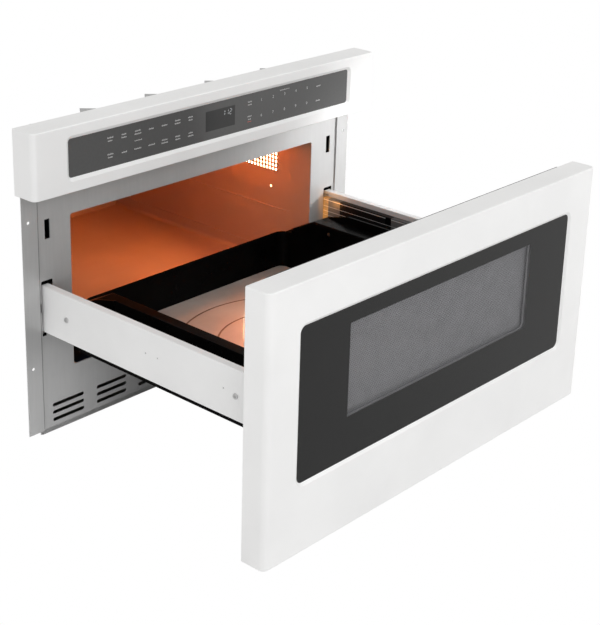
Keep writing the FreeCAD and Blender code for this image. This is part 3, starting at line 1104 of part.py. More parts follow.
def window():
    """Glass, the frame behind it, the perforated screen, and the folded panel that holds them."""
    mid_z = GLASS_LOW + GLASS_TALL / 2.0
    glass_y = FRONT_FACE_Y + FACE_SHEET
    pane = (GLASS_HALF + GLASS_LAP, GLASS_TALL / 2.0 + GLASS_LAP, GLASS_R + GLASS_LAP)
    keep("window_glass", facing_prism(0, mid_z, *pane, glass_y, glass_y + GLASS_T))
    ring_y0 = glass_y + GLASS_T
    ring_y1 = ring_y0 + FRAME_T
    view_z = VIEW_LOW + VIEW_TALL / 2.0
    half_x = VIEW_HALF + SCREEN_LAP
    half_z = VIEW_TALL / 2.0 + SCREEN_LAP
    seen = (VIEW_HALF + SCREEN_LAP / 3.0, VIEW_TALL / 2.0 + SCREEN_LAP / 3.0)
    ring = facing_prism(0, mid_z, *pane, ring_y0, ring_y1)
    keep("glass_frame", ring.cut(facing_prism(0, view_z, *seen, VIEW_R + 2.0, ring_y0 - 1, ring_y1 + 1)))
    keep("window_screen", facing_prism(0, view_z, half_x, half_z, VIEW_R, ring_y1, ring_y1 + SCREEN_T))
    panel_y0 = ring_y1 + SCREEN_T
    panel_y1 = HOOK_SEAT_Y
    side = HALF - SKIN - RUN_GAP
    low = FLOOR_GAP + SKIN + RUN_GAP
    high = FRONT_TOP - SKIN - RUN_GAP
    tray = plan_block(side, panel_y0, panel_y1, low, high, 1.0)
    pocket = plan_block(side - SHEET, panel_y0 + SHEET, panel_y1 + 1.0, low + SHEET, high - SHEET, 0.8)
    rib = facing_prism(0, view_z, half_x + RIB_OUT, half_z + RIB_OUT, 14.0, panel_y0 + SHEET, panel_y1)
    rib = rib.cut(facing_prism(0, view_z, half_x + RIB_OUT - SHEET, half_z + RIB_OUT - SHEET, 13.0,
                               panel_y0, panel_y1 + 1))
    collar = facing_prism(0, view_z, half_x + COLLAR_OUT, half_z + COLLAR_OUT, 9.0,
                          panel_y0 + SHEET, panel_y1)
    collar = collar.cut(facing_prism(0, view_z, half_x + COLLAR_OUT - SHEET, half_z + COLLAR_OUT - SHEET, 8.0,
                                     panel_y0, panel_y1 + 1))
    opening = facing_prism(0, view_z, *seen, VIEW_R, panel_y0 - 1, panel_y0 + 2 * SHEET)
    keep("inner_panel", minus(fused([tray.cut(pocket), rib, collar]), [opening]))
    keep("inner_glass", facing_prism(0, view_z, half_x + COLLAR_OUT - 2 * SHEET, half_z + COLLAR_OUT - 2 * SHEET,
                                     VIEW_R + 2.0, panel_y1 - GLASS_T, panel_y1))
    cover_half = (FRONT_TOP - FLOOR_GAP) / 2.0 - COVER_EDGE
    cover = facing_prism(0, (FRONT_TOP + FLOOR_GAP) / 2.0, HALF - COVER_SIDE, cover_half, 4.0,
                         panel_y1, FRONT_BACK_Y)
    cover_hole = facing_prism(0, view_z, half_x, half_z, VIEW_R, panel_y1 - 1, FRONT_BACK_Y + 1)
    hook_hole = facing_prism(LATCH_SLOT_X, HOOK_Z, HOOK_T / 2.0 + 1.5, LATCH_SLOT_TALL / 2.0, 1.0,
                             panel_y1 - 1, FRONT_BACK_Y + 1)
    keep("choke_cover", minus(cover, [cover_hole, hook_hole, mirrored(hook_hole)]))


# ---------------------------------------------------------------- drawer: pan
def drawer_pan():
    """Deep-drawn basin with wide side flanges that fold down into skirts."""
    y0 = FRONT_BACK_Y
    y1 = y0 + PAN_BACK
    mid_y = (y0 + y1) / 2.0
    half_y = PAN_BACK / 2.0
    shell = upright_prism(0, mid_y, PAN_HALF, half_y, PAN_R, PAN_LOW, PAN_RIM)
    shell = softened(shell, lambda e: e.BoundBox.ZMax < PAN_LOW + 0.1, PAN_FOOT_R)
    room = upright_prism(0, mid_y, PAN_HALF - PAN_WALL, half_y - PAN_WALL, PAN_R - PAN_WALL,
                         PAN_LOW + PAN_WALL, PAN_RIM + 1.0)
    room = softened(room, lambda e: e.BoundBox.ZMax < PAN_LOW + PAN_WALL + 0.1, PAN_FOOT_R - PAN_WALL)
    flange = box(PAN_HALF - 0.5, PAN_FLANGE, y0, y0 + LEDGE_LONG, PAN_RIM - PAN_WALL, PAN_RIM)
    skirt = box(PAN_FLANGE - PAN_WALL, PAN_FLANGE, y0, y0 + LEDGE_LONG, PAN_RIM - PAN_SKIRT, PAN_RIM)
    wing = fused([flange, skirt])
    wing = softened(wing, lambda e: e.BoundBox.XMin > PAN_FLANGE - 0.1 and e.BoundBox.ZMin > PAN_RIM - 0.1,
                    1.2)
    keep("drawer_pan", fused([shell.cut(room)] + list(both(wing))))


def pan_floor():
    mid_y = FRONT_BACK_Y + PAN_BACK / 2.0
    half_x = PAN_HALF - PAN_WALL
    half_y = PAN_BACK / 2.0 - PAN_WALL
    plate = upright_prism(0, mid_y, half_x - FLOOR_INSET, half_y - FLOOR_INSET, PAN_R - PAN_WALL - FLOOR_INSET,
                          FLOOR_TOP - FLOOR_PLATE_T, FLOOR_TOP)
    rings = []
    for radius in RING_RADII:
        ring = rod(radius + RING_WIDE / 2.0, 2 * RING_GROOVE, (0, mid_y, FLOOR_TOP - RING_GROOVE), (0, 0, 1))
        core = rod(radius - RING_WIDE / 2.0, 4 * RING_GROOVE, (0, mid_y, FLOOR_TOP - 2 * RING_GROOVE),
                   (0, 0, 1))
        rings.append(ring.cut(core))
    keep("ceramic_floor", minus(plate, rings))
    bed = upright_prism(0, mid_y, half_x - BED_INSET, half_y - BED_INSET, 8.0,
                        PAN_LOW + PAN_WALL, FLOOR_TOP - FLOOR_PLATE_T)
    room = upright_prism(0, mid_y, half_x - BED_INSET - BED_WIDE, half_y - BED_INSET - BED_WIDE, 6.0,
                         PAN_LOW, FLOOR_TOP)
    keep("floor_seal", bed.cut(room))


def side_profile(x0, x1, points):
    """Block whose outline, seen from the side, runs through the given places behind and above."""
    outline = [V(x0, y, z) for y, z in points]
    return Part.Face(Part.makePolygon(outline + [outline[0]])).extrude(V(x1 - x0, 0, 0))


def side_covers():
    """Gloss covers on the pan's flanges. Their backs slope down to the flange, and a rim follows
    the outer edge and steps down with them."""
    y0 = FRONT_BACK_Y
    level = y0 + COVER_LONG
    tail = y0 + LEDGE_LONG - 2.0
    tail_z = PAN_RIM + 2.0
    hump = side_profile(COVER_IN, PAN_FLANGE, ((y0, PAN_RIM), (y0, COVER_TOP), (level, COVER_TOP),
                                               (tail, tail_z), (tail, PAN_RIM)))
    plan = box(COVER_IN, PAN_FLANGE, y0, tail, PAN_RIM, COVER_TOP)
    plan = softened(plan, lambda e: e.BoundBox.ZLength > 20.0 and e.BoundBox.YMin > tail - 1.0
                    and e.BoundBox.XMax < COVER_IN + 1.0, COVER_R)
    cover = hump.common(plan)
    cover = softened(cover, lambda e: e.BoundBox.ZMin > COVER_TOP - 0.1 and e.BoundBox.XMax < PAN_FLANGE - 1.0
                     and e.BoundBox.YLength > 100.0, COVER_WALL)
    rim = side_profile(PAN_FLANGE - COVER_RIM_T, PAN_FLANGE,
                       ((y0, PAN_RIM), (y0, COVER_RIM), (y0 + RIM_LONG, COVER_RIM), (level, COVER_TOP),
                        (level, PAN_RIM)))
    hollow = box(COVER_IN + COVER_WALL, PAN_FLANGE - COVER_WALL, y0 + COVER_WALL, level - COVER_R,
                 PAN_RIM - 1.0, COVER_TOP - COVER_WALL)
    cover = fused([cover, rim]).cut(hollow)
    keep("side_cover_right", cover)
    keep("side_cover_left", mirrored(cover))
    rivets = [rod(RIVET_R, RIVET_OUT, (COVER_IN, level - along, COVER_TOP - down), (-1, 0, 0))
              for along, down in RIVETS]
    keep("cover_screws", Part.Compound([r for rivet in rivets for r in both(rivet)]))


# ---------------------------------------------------------------- drawer: latch hooks
def latch_hooks():
    """Hooks that pivot inside the drawer front and reach out through its back cover."""
    x0 = LATCH_SLOT_X - HOOK_T / 2.0
    x1 = LATCH_SLOT_X + HOOK_T / 2.0
    low = HOOK_Z - HOOK_TALL / 2.0
    high = HOOK_Z + HOOK_TALL / 2.0
    tip_y = FRONT_BACK_Y + HOOK_LONG
    start = PIVOT_Y - HOOK_HEEL
    neck = low + HOOK_NECK
    outline = [V(x0, start, neck), V(x0, tip_y - HOOK_BARB, neck), V(x0, tip_y - HOOK_BARB, low),
               V(x0, tip_y, neck + 1.0), V(x0, tip_y, neck + HOOK_NECK), V(x0, start, high - 2.0)]
    hook = Part.Face(Part.makePolygon(outline + [outline[0]])).extrude(V(HOOK_T, 0, 0))
    hook = hook.cut(rod(PIN_R + PIN_FIT, 3 * HOOK_T, (x0 - HOOK_T, PIVOT_Y, HOOK_Z), (1, 0, 0)))
    keep("latch_hook_right", hook)
    keep("latch_hook_left", mirrored(hook))
    under = low - CHEEK_OVER
    over = high + CHEEK_OVER
    cheeks = [box(x, x + CHEEK_T, start, HOOK_SEAT_Y, under, over)
              for x in (x0 - SEAT_GAP - CHEEK_T, x1 + SEAT_GAP)]
    foot = box(x0 - FOOT_REACH, x1 + FOOT_REACH, HOOK_SEAT_Y - CHEEK_T, HOOK_SEAT_Y, under, over)
    foot = foot.cut(box(x0 - SEAT_GAP, x1 + SEAT_GAP, start, HOOK_SEAT_Y + 1.0,
                        under + CHEEK_T, over - CHEEK_T))
    pin = rod(PIN_R, HOOK_T + 2 * (SEAT_GAP + CHEEK_T), (x0 - SEAT_GAP - CHEEK_T, PIVOT_Y, HOOK_Z), (1, 0, 0))
    bracket = fused(cheeks + [foot, pin])
    keep("hook_brackets", Part.Compound(list(both(bracket))))


def build():
    front_plate()
    base_pan()
    outer_case()
    rear_panel()
    inlet_gland()
    cavity_liner()
    stirrer_parts()
    waveguide()
    magnetron()
    cooling_fan()
    air_duct()
    power_transformer()
    capacitor_and_strap()
    filter_board()
    oven_lamp()
    control_panel()
    fixed_slides()
    middle_slides()
    rails()
    inner_slides()
    drive_pinion()
    drive_rack()
    gearbox_and_motor()
    interlocks()
    drawer_front()
    window()
    drawer_pan()
    pan_floor()
    side_covers()
    latch_hooks()


def write():
    os.makedirs("parts", exist_ok=True)
    for name, shape in pieces.items():
        moved = shape.copy()
        moved.translate(V(0, ORIGIN_SHIFT, 0))
        moved.exportStep(os.path.join("parts", name + ".step"))
        print(name, "solids", len(moved.Solids), "valid", moved.isValid(),
              "volume", round(moved.Volume / 1000.0, 1))


build()
write()
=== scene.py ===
"""Looks of the microwave drawer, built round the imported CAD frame. Metres, the frame's own axes."""
import math

import bmesh
import bpy
from mathutils import Matrix, Vector

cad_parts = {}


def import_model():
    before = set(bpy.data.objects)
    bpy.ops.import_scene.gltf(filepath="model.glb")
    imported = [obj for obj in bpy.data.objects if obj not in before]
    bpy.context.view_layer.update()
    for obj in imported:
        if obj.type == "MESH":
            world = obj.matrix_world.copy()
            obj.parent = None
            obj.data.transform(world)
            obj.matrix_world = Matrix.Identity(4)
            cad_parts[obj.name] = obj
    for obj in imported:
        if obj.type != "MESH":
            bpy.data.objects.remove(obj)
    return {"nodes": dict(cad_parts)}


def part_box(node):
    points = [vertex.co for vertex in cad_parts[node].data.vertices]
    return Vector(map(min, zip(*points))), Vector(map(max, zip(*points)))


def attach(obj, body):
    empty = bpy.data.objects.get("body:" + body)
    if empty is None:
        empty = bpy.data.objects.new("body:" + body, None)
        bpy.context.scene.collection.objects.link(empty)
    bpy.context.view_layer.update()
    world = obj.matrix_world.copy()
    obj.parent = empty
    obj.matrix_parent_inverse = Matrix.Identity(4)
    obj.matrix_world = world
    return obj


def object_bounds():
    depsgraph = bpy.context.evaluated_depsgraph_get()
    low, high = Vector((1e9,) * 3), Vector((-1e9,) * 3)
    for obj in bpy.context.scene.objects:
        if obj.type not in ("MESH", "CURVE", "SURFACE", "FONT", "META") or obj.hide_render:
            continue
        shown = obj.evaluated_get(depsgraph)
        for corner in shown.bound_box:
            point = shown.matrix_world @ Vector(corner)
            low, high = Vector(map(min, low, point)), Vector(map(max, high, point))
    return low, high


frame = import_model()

BOX_AT_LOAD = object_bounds()
BODY, DRAWER = "body", "drawer"
N = frame["nodes"]


def span(node):
    low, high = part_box(node)
    return Vector(low), Vector(high)


# ---------------------------------------------------------------- places read from the frame
PLATE_LO, PLATE_HI = span("front_plate")
FRONT_LO, FRONT_HI = span("drawer_front")
GLASS_LO, GLASS_HI = span("window_glass")
TOUCH_LO, TOUCH_HI = span("control_glass")
BEZEL_LO, BEZEL_HI = span("control_bezel")
CASE_LO, CASE_HI = span("outer_case")
LINER_LO, LINER_HI = span("cavity_liner")
FLOOR_LO, FLOOR_HI = span("ceramic_floor")
LAMP_LO, LAMP_HI = span("lamp_bulb")
SCREEN_LO, SCREEN_HI = span("window_screen")
PLATE_SHEET = 0.001           # thickness of the front plate
LINER_SKIN = 0.003            # how far the lamp patch lies inside the liner's outer face
PATCH_HEIGHT = 0.241
PLATE_Y = PLATE_HI.y - PLATE_SHEET
RING_CENTRE = (FLOOR_LO + FLOOR_HI) / 2.0
PATCH = Vector((LINER_HI.x - LINER_SKIN, LAMP_LO.lerp(LAMP_HI, 0.5).y, PATCH_HEIGHT))
RAIL_LO, RAIL_HI = span("rail_right")
MIDDLE_LO, MIDDLE_HI = span("middle_slide_right")
RAIL_MID = (RAIL_LO.z + RAIL_HI.z) / 2.0
# Places of the painted shade discs on the rails, one at each pressed dimple.
DIMPLES = ((0.1827, RAIL_MID + 0.002, 0.0010), (0.2025, RAIL_MID + 0.002, 0.0010),
           (0.3070, RAIL_MID + 0.002, 0.0010))      # ahead of the plate, height, radius


# ---------------------------------------------------------------- materials
class Look:
    """A material under construction: its nodes, its links and its shader."""

    def __init__(self, name):
        self.mat = bpy.data.materials.new(name)
        self.mat.use_nodes = True
        self.tree = self.mat.node_tree
        self.tree.nodes.clear()
        self.out = self.tree.nodes.new("ShaderNodeOutputMaterial")
        self.bsdf = self.tree.nodes.new("ShaderNodeBsdfPrincipled")
        self.link(self.bsdf.outputs["BSDF"], self.out.inputs["Surface"])
        self.place = self.node("ShaderNodeTexCoord").outputs["Object"]

    def node(self, kind, **settings):
        made = self.tree.nodes.new(kind)
        for key, value in settings.items():
            setattr(made, key, value)
        return made

    def link(self, a, b):
        self.tree.links.new(a, b)

    def set(self, **sockets):
        for key, value in sockets.items():
            self.bsdf.inputs[key.replace("_", " ")].default_value = value
        return self

    def noise(self, scale, detail=3.0, stretch=None, rough=0.5):
        tex = self.node("ShaderNodeTexNoise")
        tex.inputs["Scale"].default_value = scale
        tex.inputs["Detail"].default_value = detail
        tex.inputs["Roughness"].default_value = rough
        source = self.place
        if stretch:
            mapping = self.node("ShaderNodeMapping")
            mapping.inputs["Scale"].default_value = stretch
            self.link(self.place, mapping.inputs["Vector"])
            source = mapping.outputs["Vector"]
        self.link(source, tex.inputs["Vector"])
        return tex.outputs["Fac"]

    def ramp(self, fac, stops, mode="LINEAR"):
        ramp = self.node("ShaderNodeValToRGB")
        ramp.color_ramp.interpolation = mode
        points = ramp.color_ramp.elements
        while len(points) < len(stops):
            points.new(0.5)
        for point, (at, colour) in zip(points, stops):
            point.position = at
            point.color = colour if len(colour) == 4 else (*colour, 1.0)
        self.link(fac, ramp.inputs["Fac"])
        return ramp.outputs["Color"]

    def math(self, kind, a, b=None, c=None):
        made = self.node("ShaderNodeMath", operation=kind)
        for socket, value in zip(made.inputs, (a, b, c)):
            if value is None:
                continue
            if isinstance(value, (int, float)):
                socket.default_value = value
            else:
                self.link(value, socket)
        return made.outputs[0]

    def near(self, value, centre, half):
        """One where the value lies within half of the centre, nothing elsewhere."""
        off = self.math("ABSOLUTE", self.math("SUBTRACT", value, centre))
        return self.math("LESS_THAN", off, half)

    def distance(self, a, b):
        squares = self.math("ADD", self.math("MULTIPLY", a, a), self.math("MULTIPLY", b, b))
        return self.math("SQRT", squares)

    def any_of(self, masks):
        found = masks[0]
        for mask in masks[1:]:
            found = self.math("MAXIMUM", mask, found)
        return found

    def blend(self, fac, a, b):
        """Colour a where fac is nothing and b where it is one, each a socket or a fixed colour."""
        mix = self.node("ShaderNodeMix", data_type="RGBA")
        self.link(fac, mix.inputs["Factor"])
        for key, value in (("A", a), ("B", b)):
            if isinstance(value, tuple):
                mix.inputs[key].default_value = value
            else:
                self.link(value, mix.inputs[key])
        return mix.outputs["Result"]

    def see_through(self, amount, tint=(1.0, 1.0, 1.0)):
        """Lets light straight through, by a fixed amount or where a mask says so."""
        clear = self.node("ShaderNodeBsdfTransparent")
        clear.inputs["Color"].default_value = (*tint, 1.0)
        mix = self.node("ShaderNodeMixShader")
        if isinstance(amount, float):
            mix.inputs[0].default_value = amount
        else:
            self.link(amount, mix.inputs[0])
        self.link(self.bsdf.outputs[0], mix.inputs[1])
        self.link(clear.outputs[0], mix.inputs[2])
        self.link(mix.outputs[0], self.out.inputs["Surface"])

    def axis(self, which):
        split = self.node("ShaderNodeSeparateXYZ")
        self.link(self.place, split.inputs[0])
        return split.outputs[which]

    def bump(self, height, strength, distance=0.001):
        made = self.node("ShaderNodeBump")
        made.inputs["Strength"].default_value = strength
        made.inputs["Distance"].default_value = distance
        self.link(height, made.inputs["Height"])
        self.link(made.outputs["Normal"], self.bsdf.inputs["Normal"])

    def colour(self, socket):
        self.link(socket, self.bsdf.inputs["Base Color"])

    def rough(self, socket, low, high):
        mapped = self.node("ShaderNodeMapRange")
        mapped.inputs["To Min"].default_value = low
        mapped.inputs["To Max"].default_value = high
        self.link(socket, mapped.inputs["Value"])
        self.link(mapped.outputs[0], self.bsdf.inputs["Roughness"])


def grey(v, warm=0.0):
    return (v, v * (1.0 - 0.4 * warm), v * (1.0 - warm))


def painted(name, low, high, coat):
    """Sprayed sheet: faint mottling and orange peel."""
    m = Look(name).set(Specular_IOR_Level=0.45, Coat_Weight=coat, Coat_Roughness=0.12)
    m.colour(m.ramp(m.noise(9.0, 4.0), ((0.35, low), (0.65, high))))
    m.rough(m.noise(60.0, 3.0), 0.30, 0.40)
    m.bump(m.noise(900.0, 2.0), 0.05, 0.0004)
    return m.mat


def brushed(name, low, high, rough=(0.28, 0.42), stretch=(40.0, 900.0, 900.0)):
    """Bare metal with a fine grain."""
    m = Look(name).set(Metallic=1.0)
    grain = m.noise(1.0, 4.0, stretch)
    m.colour(m.ramp(grain, ((0.3, low), (0.7, high))))
    m.rough(m.noise(14.0, 4.0), *rough)
    m.bump(grain, 0.05, 0.0002)
    return m.mat


def plastic(name, low, high, rough=(0.42, 0.55), grain=1400.0, depth=0.10):
    """Moulded or dull surface with a fine pebbled grain."""
    m = Look(name).set(Specular_IOR_Level=0.4)
    m.colour(m.ramp(m.noise(25.0, 4.0), ((0.3, low), (0.7, high))))
    m.rough(m.noise(80.0, 2.0), *rough)
    m.bump(m.noise(grain, 2.0), depth, 0.0003)
    return m.mat


def enamel_black():
    """Gloss black enamel of the pan and its side covers."""
    m = Look("pan_gloss").set(Specular_IOR_Level=0.025)
    m.colour(m.ramp(m.noise(30.0, 4.0), ((0.3, grey(0.0012)), (0.7, grey(0.0028)))))
    m.rough(m.noise(40.0, 3.0), 0.18, 0.30)
    m.bump(m.noise(260.0, 2.0), 0.03, 0.0004)
    return m.mat


def ceramic_floor():
    """Pale ceramic with its ring marks in a darker glaze."""
    m = Look("ceramic_floor").set(Specular_IOR_Level=0.5, Coat_Weight=0.7, Coat_Roughness=0.035)
    base = m.ramp(m.noise(18.0, 5.0), ((0.35, (0.50, 0.43, 0.38)), (0.65, (0.60, 0.53, 0.475))))
    dx = m.math("SUBTRACT", m.axis(0), RING_CENTRE.x)
    dy = m.math("SUBTRACT", m.axis(1), RING_CENTRE.y)
    far = m.distance(dx, dy)
    rings = ((0.150, 0.0013), (0.0994, 0.0013), (0.048, 0.0011))      # radius, half the line's width
    marks = m.any_of([m.near(far, radius, half) for radius, half in rings])
    m.colour(m.blend(marks, base, (0.16, 0.09, 0.055, 1.0)))
    m.rough(m.noise(120.0, 3.0), 0.28, 0.40)
    m.bump(m.noise(500.0, 3.0), 0.05, 0.0004)
    return m.mat


def cavity_enamel():
    """Warm enamel of the oven cavity, slightly uneven as pressed sheet is."""
    m = Look("cavity_enamel").set(Specular_IOR_Level=0.5, Coat_Weight=0.3, Coat_Roughness=0.16)
    m.colour(m.ramp(m.noise(7.0, 4.0), ((0.3, (0.43, 0.27, 0.185)), (0.7, (0.51, 0.32, 0.225)))))
    m.rough(m.noise(50.0, 3.0), 0.26, 0.38)
    m.bump(m.noise(1.0, 4.0, (9.0, 60.0, 60.0)), 0.16, 0.0012)
    return m.mat


def touch_glass():
    """Dark glass printed behind: an even grey with a faint sparkle."""
    m = Look("touch_glass").set(Specular_IOR_Level=0.4)
    m.colour(m.ramp(m.noise(300.0, 2.0), ((0.3, grey(0.094)), (0.7, grey(0.100)))))
    m.rough(m.noise(20.0, 2.0), 0.10, 0.16)
    m.bump(m.noise(6.0, 1.0), 0.01, 0.0005)
    return m.mat


def window_glass():
    """Oven window: printed dark border, and a middle that lets the perforated screen show."""
    m = Look("window_glass").set(Specular_IOR_Level=0.28)
    m.colour(m.ramp(m.noise(200.0, 2.0), ((0.3, grey(0.0065)), (0.7, grey(0.0095)))))
    m.rough(m.noise(15.0, 2.0), 0.08, 0.14)
    m.bump(m.noise(5.0, 1.0), 0.01, 0.0005)
    lap, wider = 0.006, 0.014     # print over the screen's edge, and how much wider the back face is clear
    half_x = (SCREEN_HI.x - SCREEN_LO.x) / 2.0 - lap
    mid_z = (SCREEN_HI.z + SCREEN_LO.z) / 2.0
    half_z = (SCREEN_HI.z - SCREEN_LO.z) / 2.0 - lap
    behind = m.math("GREATER_THAN", m.axis(1), GLASS_LO.lerp(GLASS_HI, 0.5).y)
    back = m.math("MULTIPLY", behind, wider)
    inside_x = m.math("LESS_THAN", m.math("SUBTRACT", m.math("ABSOLUTE", m.axis(0)), back), half_x)
    off_z = m.math("ABSOLUTE", m.math("SUBTRACT", m.axis(2), mid_z))
    inside_z = m.math("LESS_THAN", m.math("SUBTRACT", off_z, back), half_z)
    both = m.math("MULTIPLY", inside_x, inside_z)
    m.see_through(m.math("MULTIPLY", both, 0.92), (0.95, 0.95, 0.96))
    return m.mat


def perforated(name, web, through, glow=0.0):
    """Thin steel with a staggered grid of round holes; through tells how clear the holes are, and glow, when
    given, is an even white emission that is painted light.
    """
    m = Look(name).set(Metallic=0.1, Roughness=0.55, Specular_IOR_Level=0.3)
    pitch, row, radius = 0.0027, 0.866, 0.29      # row and radius are shares of the pitch
    u = m.math("DIVIDE", m.axis(0), pitch)
    v = m.math("DIVIDE", m.axis(2), pitch * row)
    stagger = m.math("MULTIPLY", m.math("PINGPONG", m.math("FLOOR", v), 1.0), 0.5)
    fu = m.math("SUBTRACT", m.math("FRACT", m.math("ADD", u, stagger)), 0.5)
    fv = m.math("SUBTRACT", m.math("FRACT", v), 0.5)
    hole = m.math("LESS_THAN", m.distance(fu, fv), radius)
    m.colour(m.ramp(m.noise(40.0, 3.0), ((0.3, grey(web * 0.94)), (0.7, grey(web * 1.06)))))
    m.set(Emission_Strength=glow)
    m.bsdf.inputs["Emission Color"].default_value = (1.0, 1.0, 1.0, 1.0)
    m.see_through(m.math("MULTIPLY", hole, through))
    return m.mat


def galvanised():
    """Satin zinc sheet of the front plate, with a faint upright grain."""
    m = Look("galvanised_plate").set(Metallic=0.30, Specular_IOR_Level=0.5)
    grain = m.noise(1.0, 4.0, (420.0, 420.0, 22.0))
    spangle = m.noise(34.0, 3.0)
    mottle = m.math("ADD", m.math("MULTIPLY", grain, 0.5), m.math("MULTIPLY", spangle, 0.5))
    m.colour(m.ramp(mottle, ((0.3, grey(0.465)), (0.7, grey(0.505)))))
    m.rough(m.noise(16.0, 4.0), 0.34, 0.44)
    m.bump(grain, 0.03, 0.0001)
    return m.mat


def slide_black():
    """Telescopic slide: blackened between its race lines, bare zinc at both ends; the race lines are painted
    brighter than the bare zinc, a painted highlight.
    A faint warm emission at the plate is painted light that stands for light from the cavity."""
    m = Look("slide_black").set(Specular_IOR_Level=0.3)
    ahead = m.math("SUBTRACT", PLATE_Y, m.axis(1))
    bare = m.math("MAXIMUM", m.math("LESS_THAN", ahead, 0.030), m.math("GREATER_THAN", ahead, 0.124))
    # Height and half the width of each race line; the lines are painted far brighter than the bare zinc, a
    # painted highlight.
    lines = ((0.1868, 0.0006), (0.1772, 0.00035), (0.1700, 0.00045), (0.1640, 0.0003))
    race_highlights = m.any_of([m.near(m.axis(2), height, half) for height, half in lines])
    zinc = m.math("MAXIMUM", bare, race_highlights)
    black = m.ramp(m.noise(60.0, 3.0), ((0.3, grey(0.004)), (0.7, grey(0.008))))
    bright = m.ramp(race_highlights, ((0.0, grey(0.22)), (1.0, grey(0.75))))
    m.colour(m.blend(zinc, black, bright))
    m.link(m.math("MULTIPLY", zinc, 0.5), m.bsdf.inputs["Metallic"])
    m.rough(m.noise(30.0, 3.0), 0.28, 0.40)
    # Painted light: a patchy warm glow within about 8 mm in front of the plate.
    patchy = m.math("MULTIPLY", m.noise(1.0, 3.0, (60.0, 60.0, 160.0)), 0.8)
    glow = m.math("MULTIPLY", m.near(ahead, 0.003, 0.005), patchy)
    m.link(glow, m.bsdf.inputs["Emission Strength"])
    m.bsdf.inputs["Emission Color"].default_value = (1.0, 0.38, 0.05, 1.0)
    return m.mat


def dimpled_rail():
    """White powder coat, with a painted shade disc at each pressed dimple."""
    m = Look("rail_white").set(Specular_IOR_Level=0.45)
    dimple_shade = []
    for ahead, height, radius in DIMPLES:
        dy = m.math("SUBTRACT", m.math("SUBTRACT", PLATE_Y, m.axis(1)), ahead)
        dz = m.math("SUBTRACT", m.axis(2), height)
        dimple_shade.append(m.math("LESS_THAN", m.distance(dy, dz), radius))
    white = m.ramp(m.noise(9.0, 4.0), ((0.35, grey(0.81)), (0.65, grey(0.86))))
    m.colour(m.blend(m.any_of(dimple_shade), white, (0.36, 0.36, 0.36, 1.0)))
    m.rough(m.noise(60.0, 3.0), 0.38, 0.48)
    m.bump(m.noise(900.0, 2.0), 0.05, 0.0004)
    return m.mat


def glass_clear():
    """Clear inner pane of the drawer's front."""
    tint = (0.92, 0.94, 0.94)
    m = Look("clear_glass").set(Roughness=0.04, Specular_IOR_Level=0.5)
    m.colour(m.ramp(m.noise(8.0, 2.0), ((0.3, tint), (0.7, tuple(c * 0.97 for c in tint)))))
    m.see_through(0.85, tint)
    return m.mat


def glowing(name, colour, strength):
    m = Look(name).set(Roughness=0.4, Emission_Strength=strength)
    m.colour(m.ramp(m.noise(60.0, 2.0), ((0.3, colour), (0.7, tuple(c * 0.96 for c in colour)))))
    m.bsdf.inputs["Emission Color"].default_value = (*colour, 1.0)
    return m.mat


FRONT_WHITE = painted("front_white", grey(0.84), grey(0.88), coat=0.15)
PLATE_ZINC = galvanised()
RAIL_WHITE = dimpled_rail()
# Dull black for the slide pads, and for the dark sheets behind the plate's slots that are painted shade.
DULL_BLACK_AND_SHADE = plastic("dull_black", grey(0.0015), grey(0.003), rough=(0.7, 0.85), grain=500.0)
SLIDE_BLACK = slide_black()
# Grey of the painted shade line along the flange folds.
FOLD_SHADE = plastic("bend_shade", grey(0.16), grey(0.20))
# Near-black with a cold tint, for the painted shade sheet on the cavity floor.
FLOOR_SHADE = plastic("sill_mat", (0.010, 0.016, 0.028), (0.014, 0.021, 0.035), rough=(0.85, 0.95), grain=500.0)
# No specular on the painted shade sheets or the dull black pads, so they stay black.
for unlit in (FLOOR_SHADE, DULL_BLACK_AND_SHADE):
    unlit.node_tree.nodes["Principled BSDF"].inputs["Specular IOR Level"].default_value = 0.0
STEEL = brushed("slide_steel", grey(0.42), grey(0.62))
DARK_STEEL = brushed("oiled_steel", grey(0.16), grey(0.26), rough=(0.22, 0.34))
ZINC = brushed("zinc_sheet", grey(0.50), grey(0.57), rough=(0.40, 0.52), stretch=(120.0, 120.0, 120.0))
ALU = brushed("aluminium", grey(0.60), grey(0.74))
BLACK = plastic("black_plastic", grey(0.018), grey(0.030))
DARK = plastic("dark_sheet", grey(0.030), grey(0.045), rough=(0.5, 0.62), grain=700.0)
WHITE_PLASTIC = plastic("white_plastic", grey(0.66), grey(0.74))
ACETAL = plastic("acetal", grey(0.70, 0.06), grey(0.78, 0.06))
MICA = plastic("mica_cover", (0.62, 0.55, 0.46), (0.70, 0.63, 0.54), grain=300.0)
RUBBER = plastic("rubber", grey(0.020), grey(0.032), rough=(0.65, 0.8))
GREEN = plastic("board_green", (0.02, 0.10, 0.045), (0.03, 0.14, 0.06), rough=(0.3, 0.4))
IRON = plastic("core_iron", grey(0.05), grey(0.09), rough=(0.45, 0.6), grain=2000.0, depth=0.3)
COPPER = brushed("copper_wire", (0.55, 0.22, 0.10), (0.70, 0.32, 0.16), stretch=(900.0, 900.0, 3000.0))
CLEAR = glass_clear()
PAN = enamel_black()
CERAMIC = ceramic_floor()
LINER = cavity_enamel()
TOUCH = touch_glass()
WINDOW = window_glass()
SCREEN = perforated("perforated_screen", 0.34, 0.72)
# The glass frame takes the screen's look with a faint emission: painted light on a band that lies in the
# printed border's shade.
SCREEN_EDGE = perforated("screen_edge", 0.34, 0.0, 0.045)

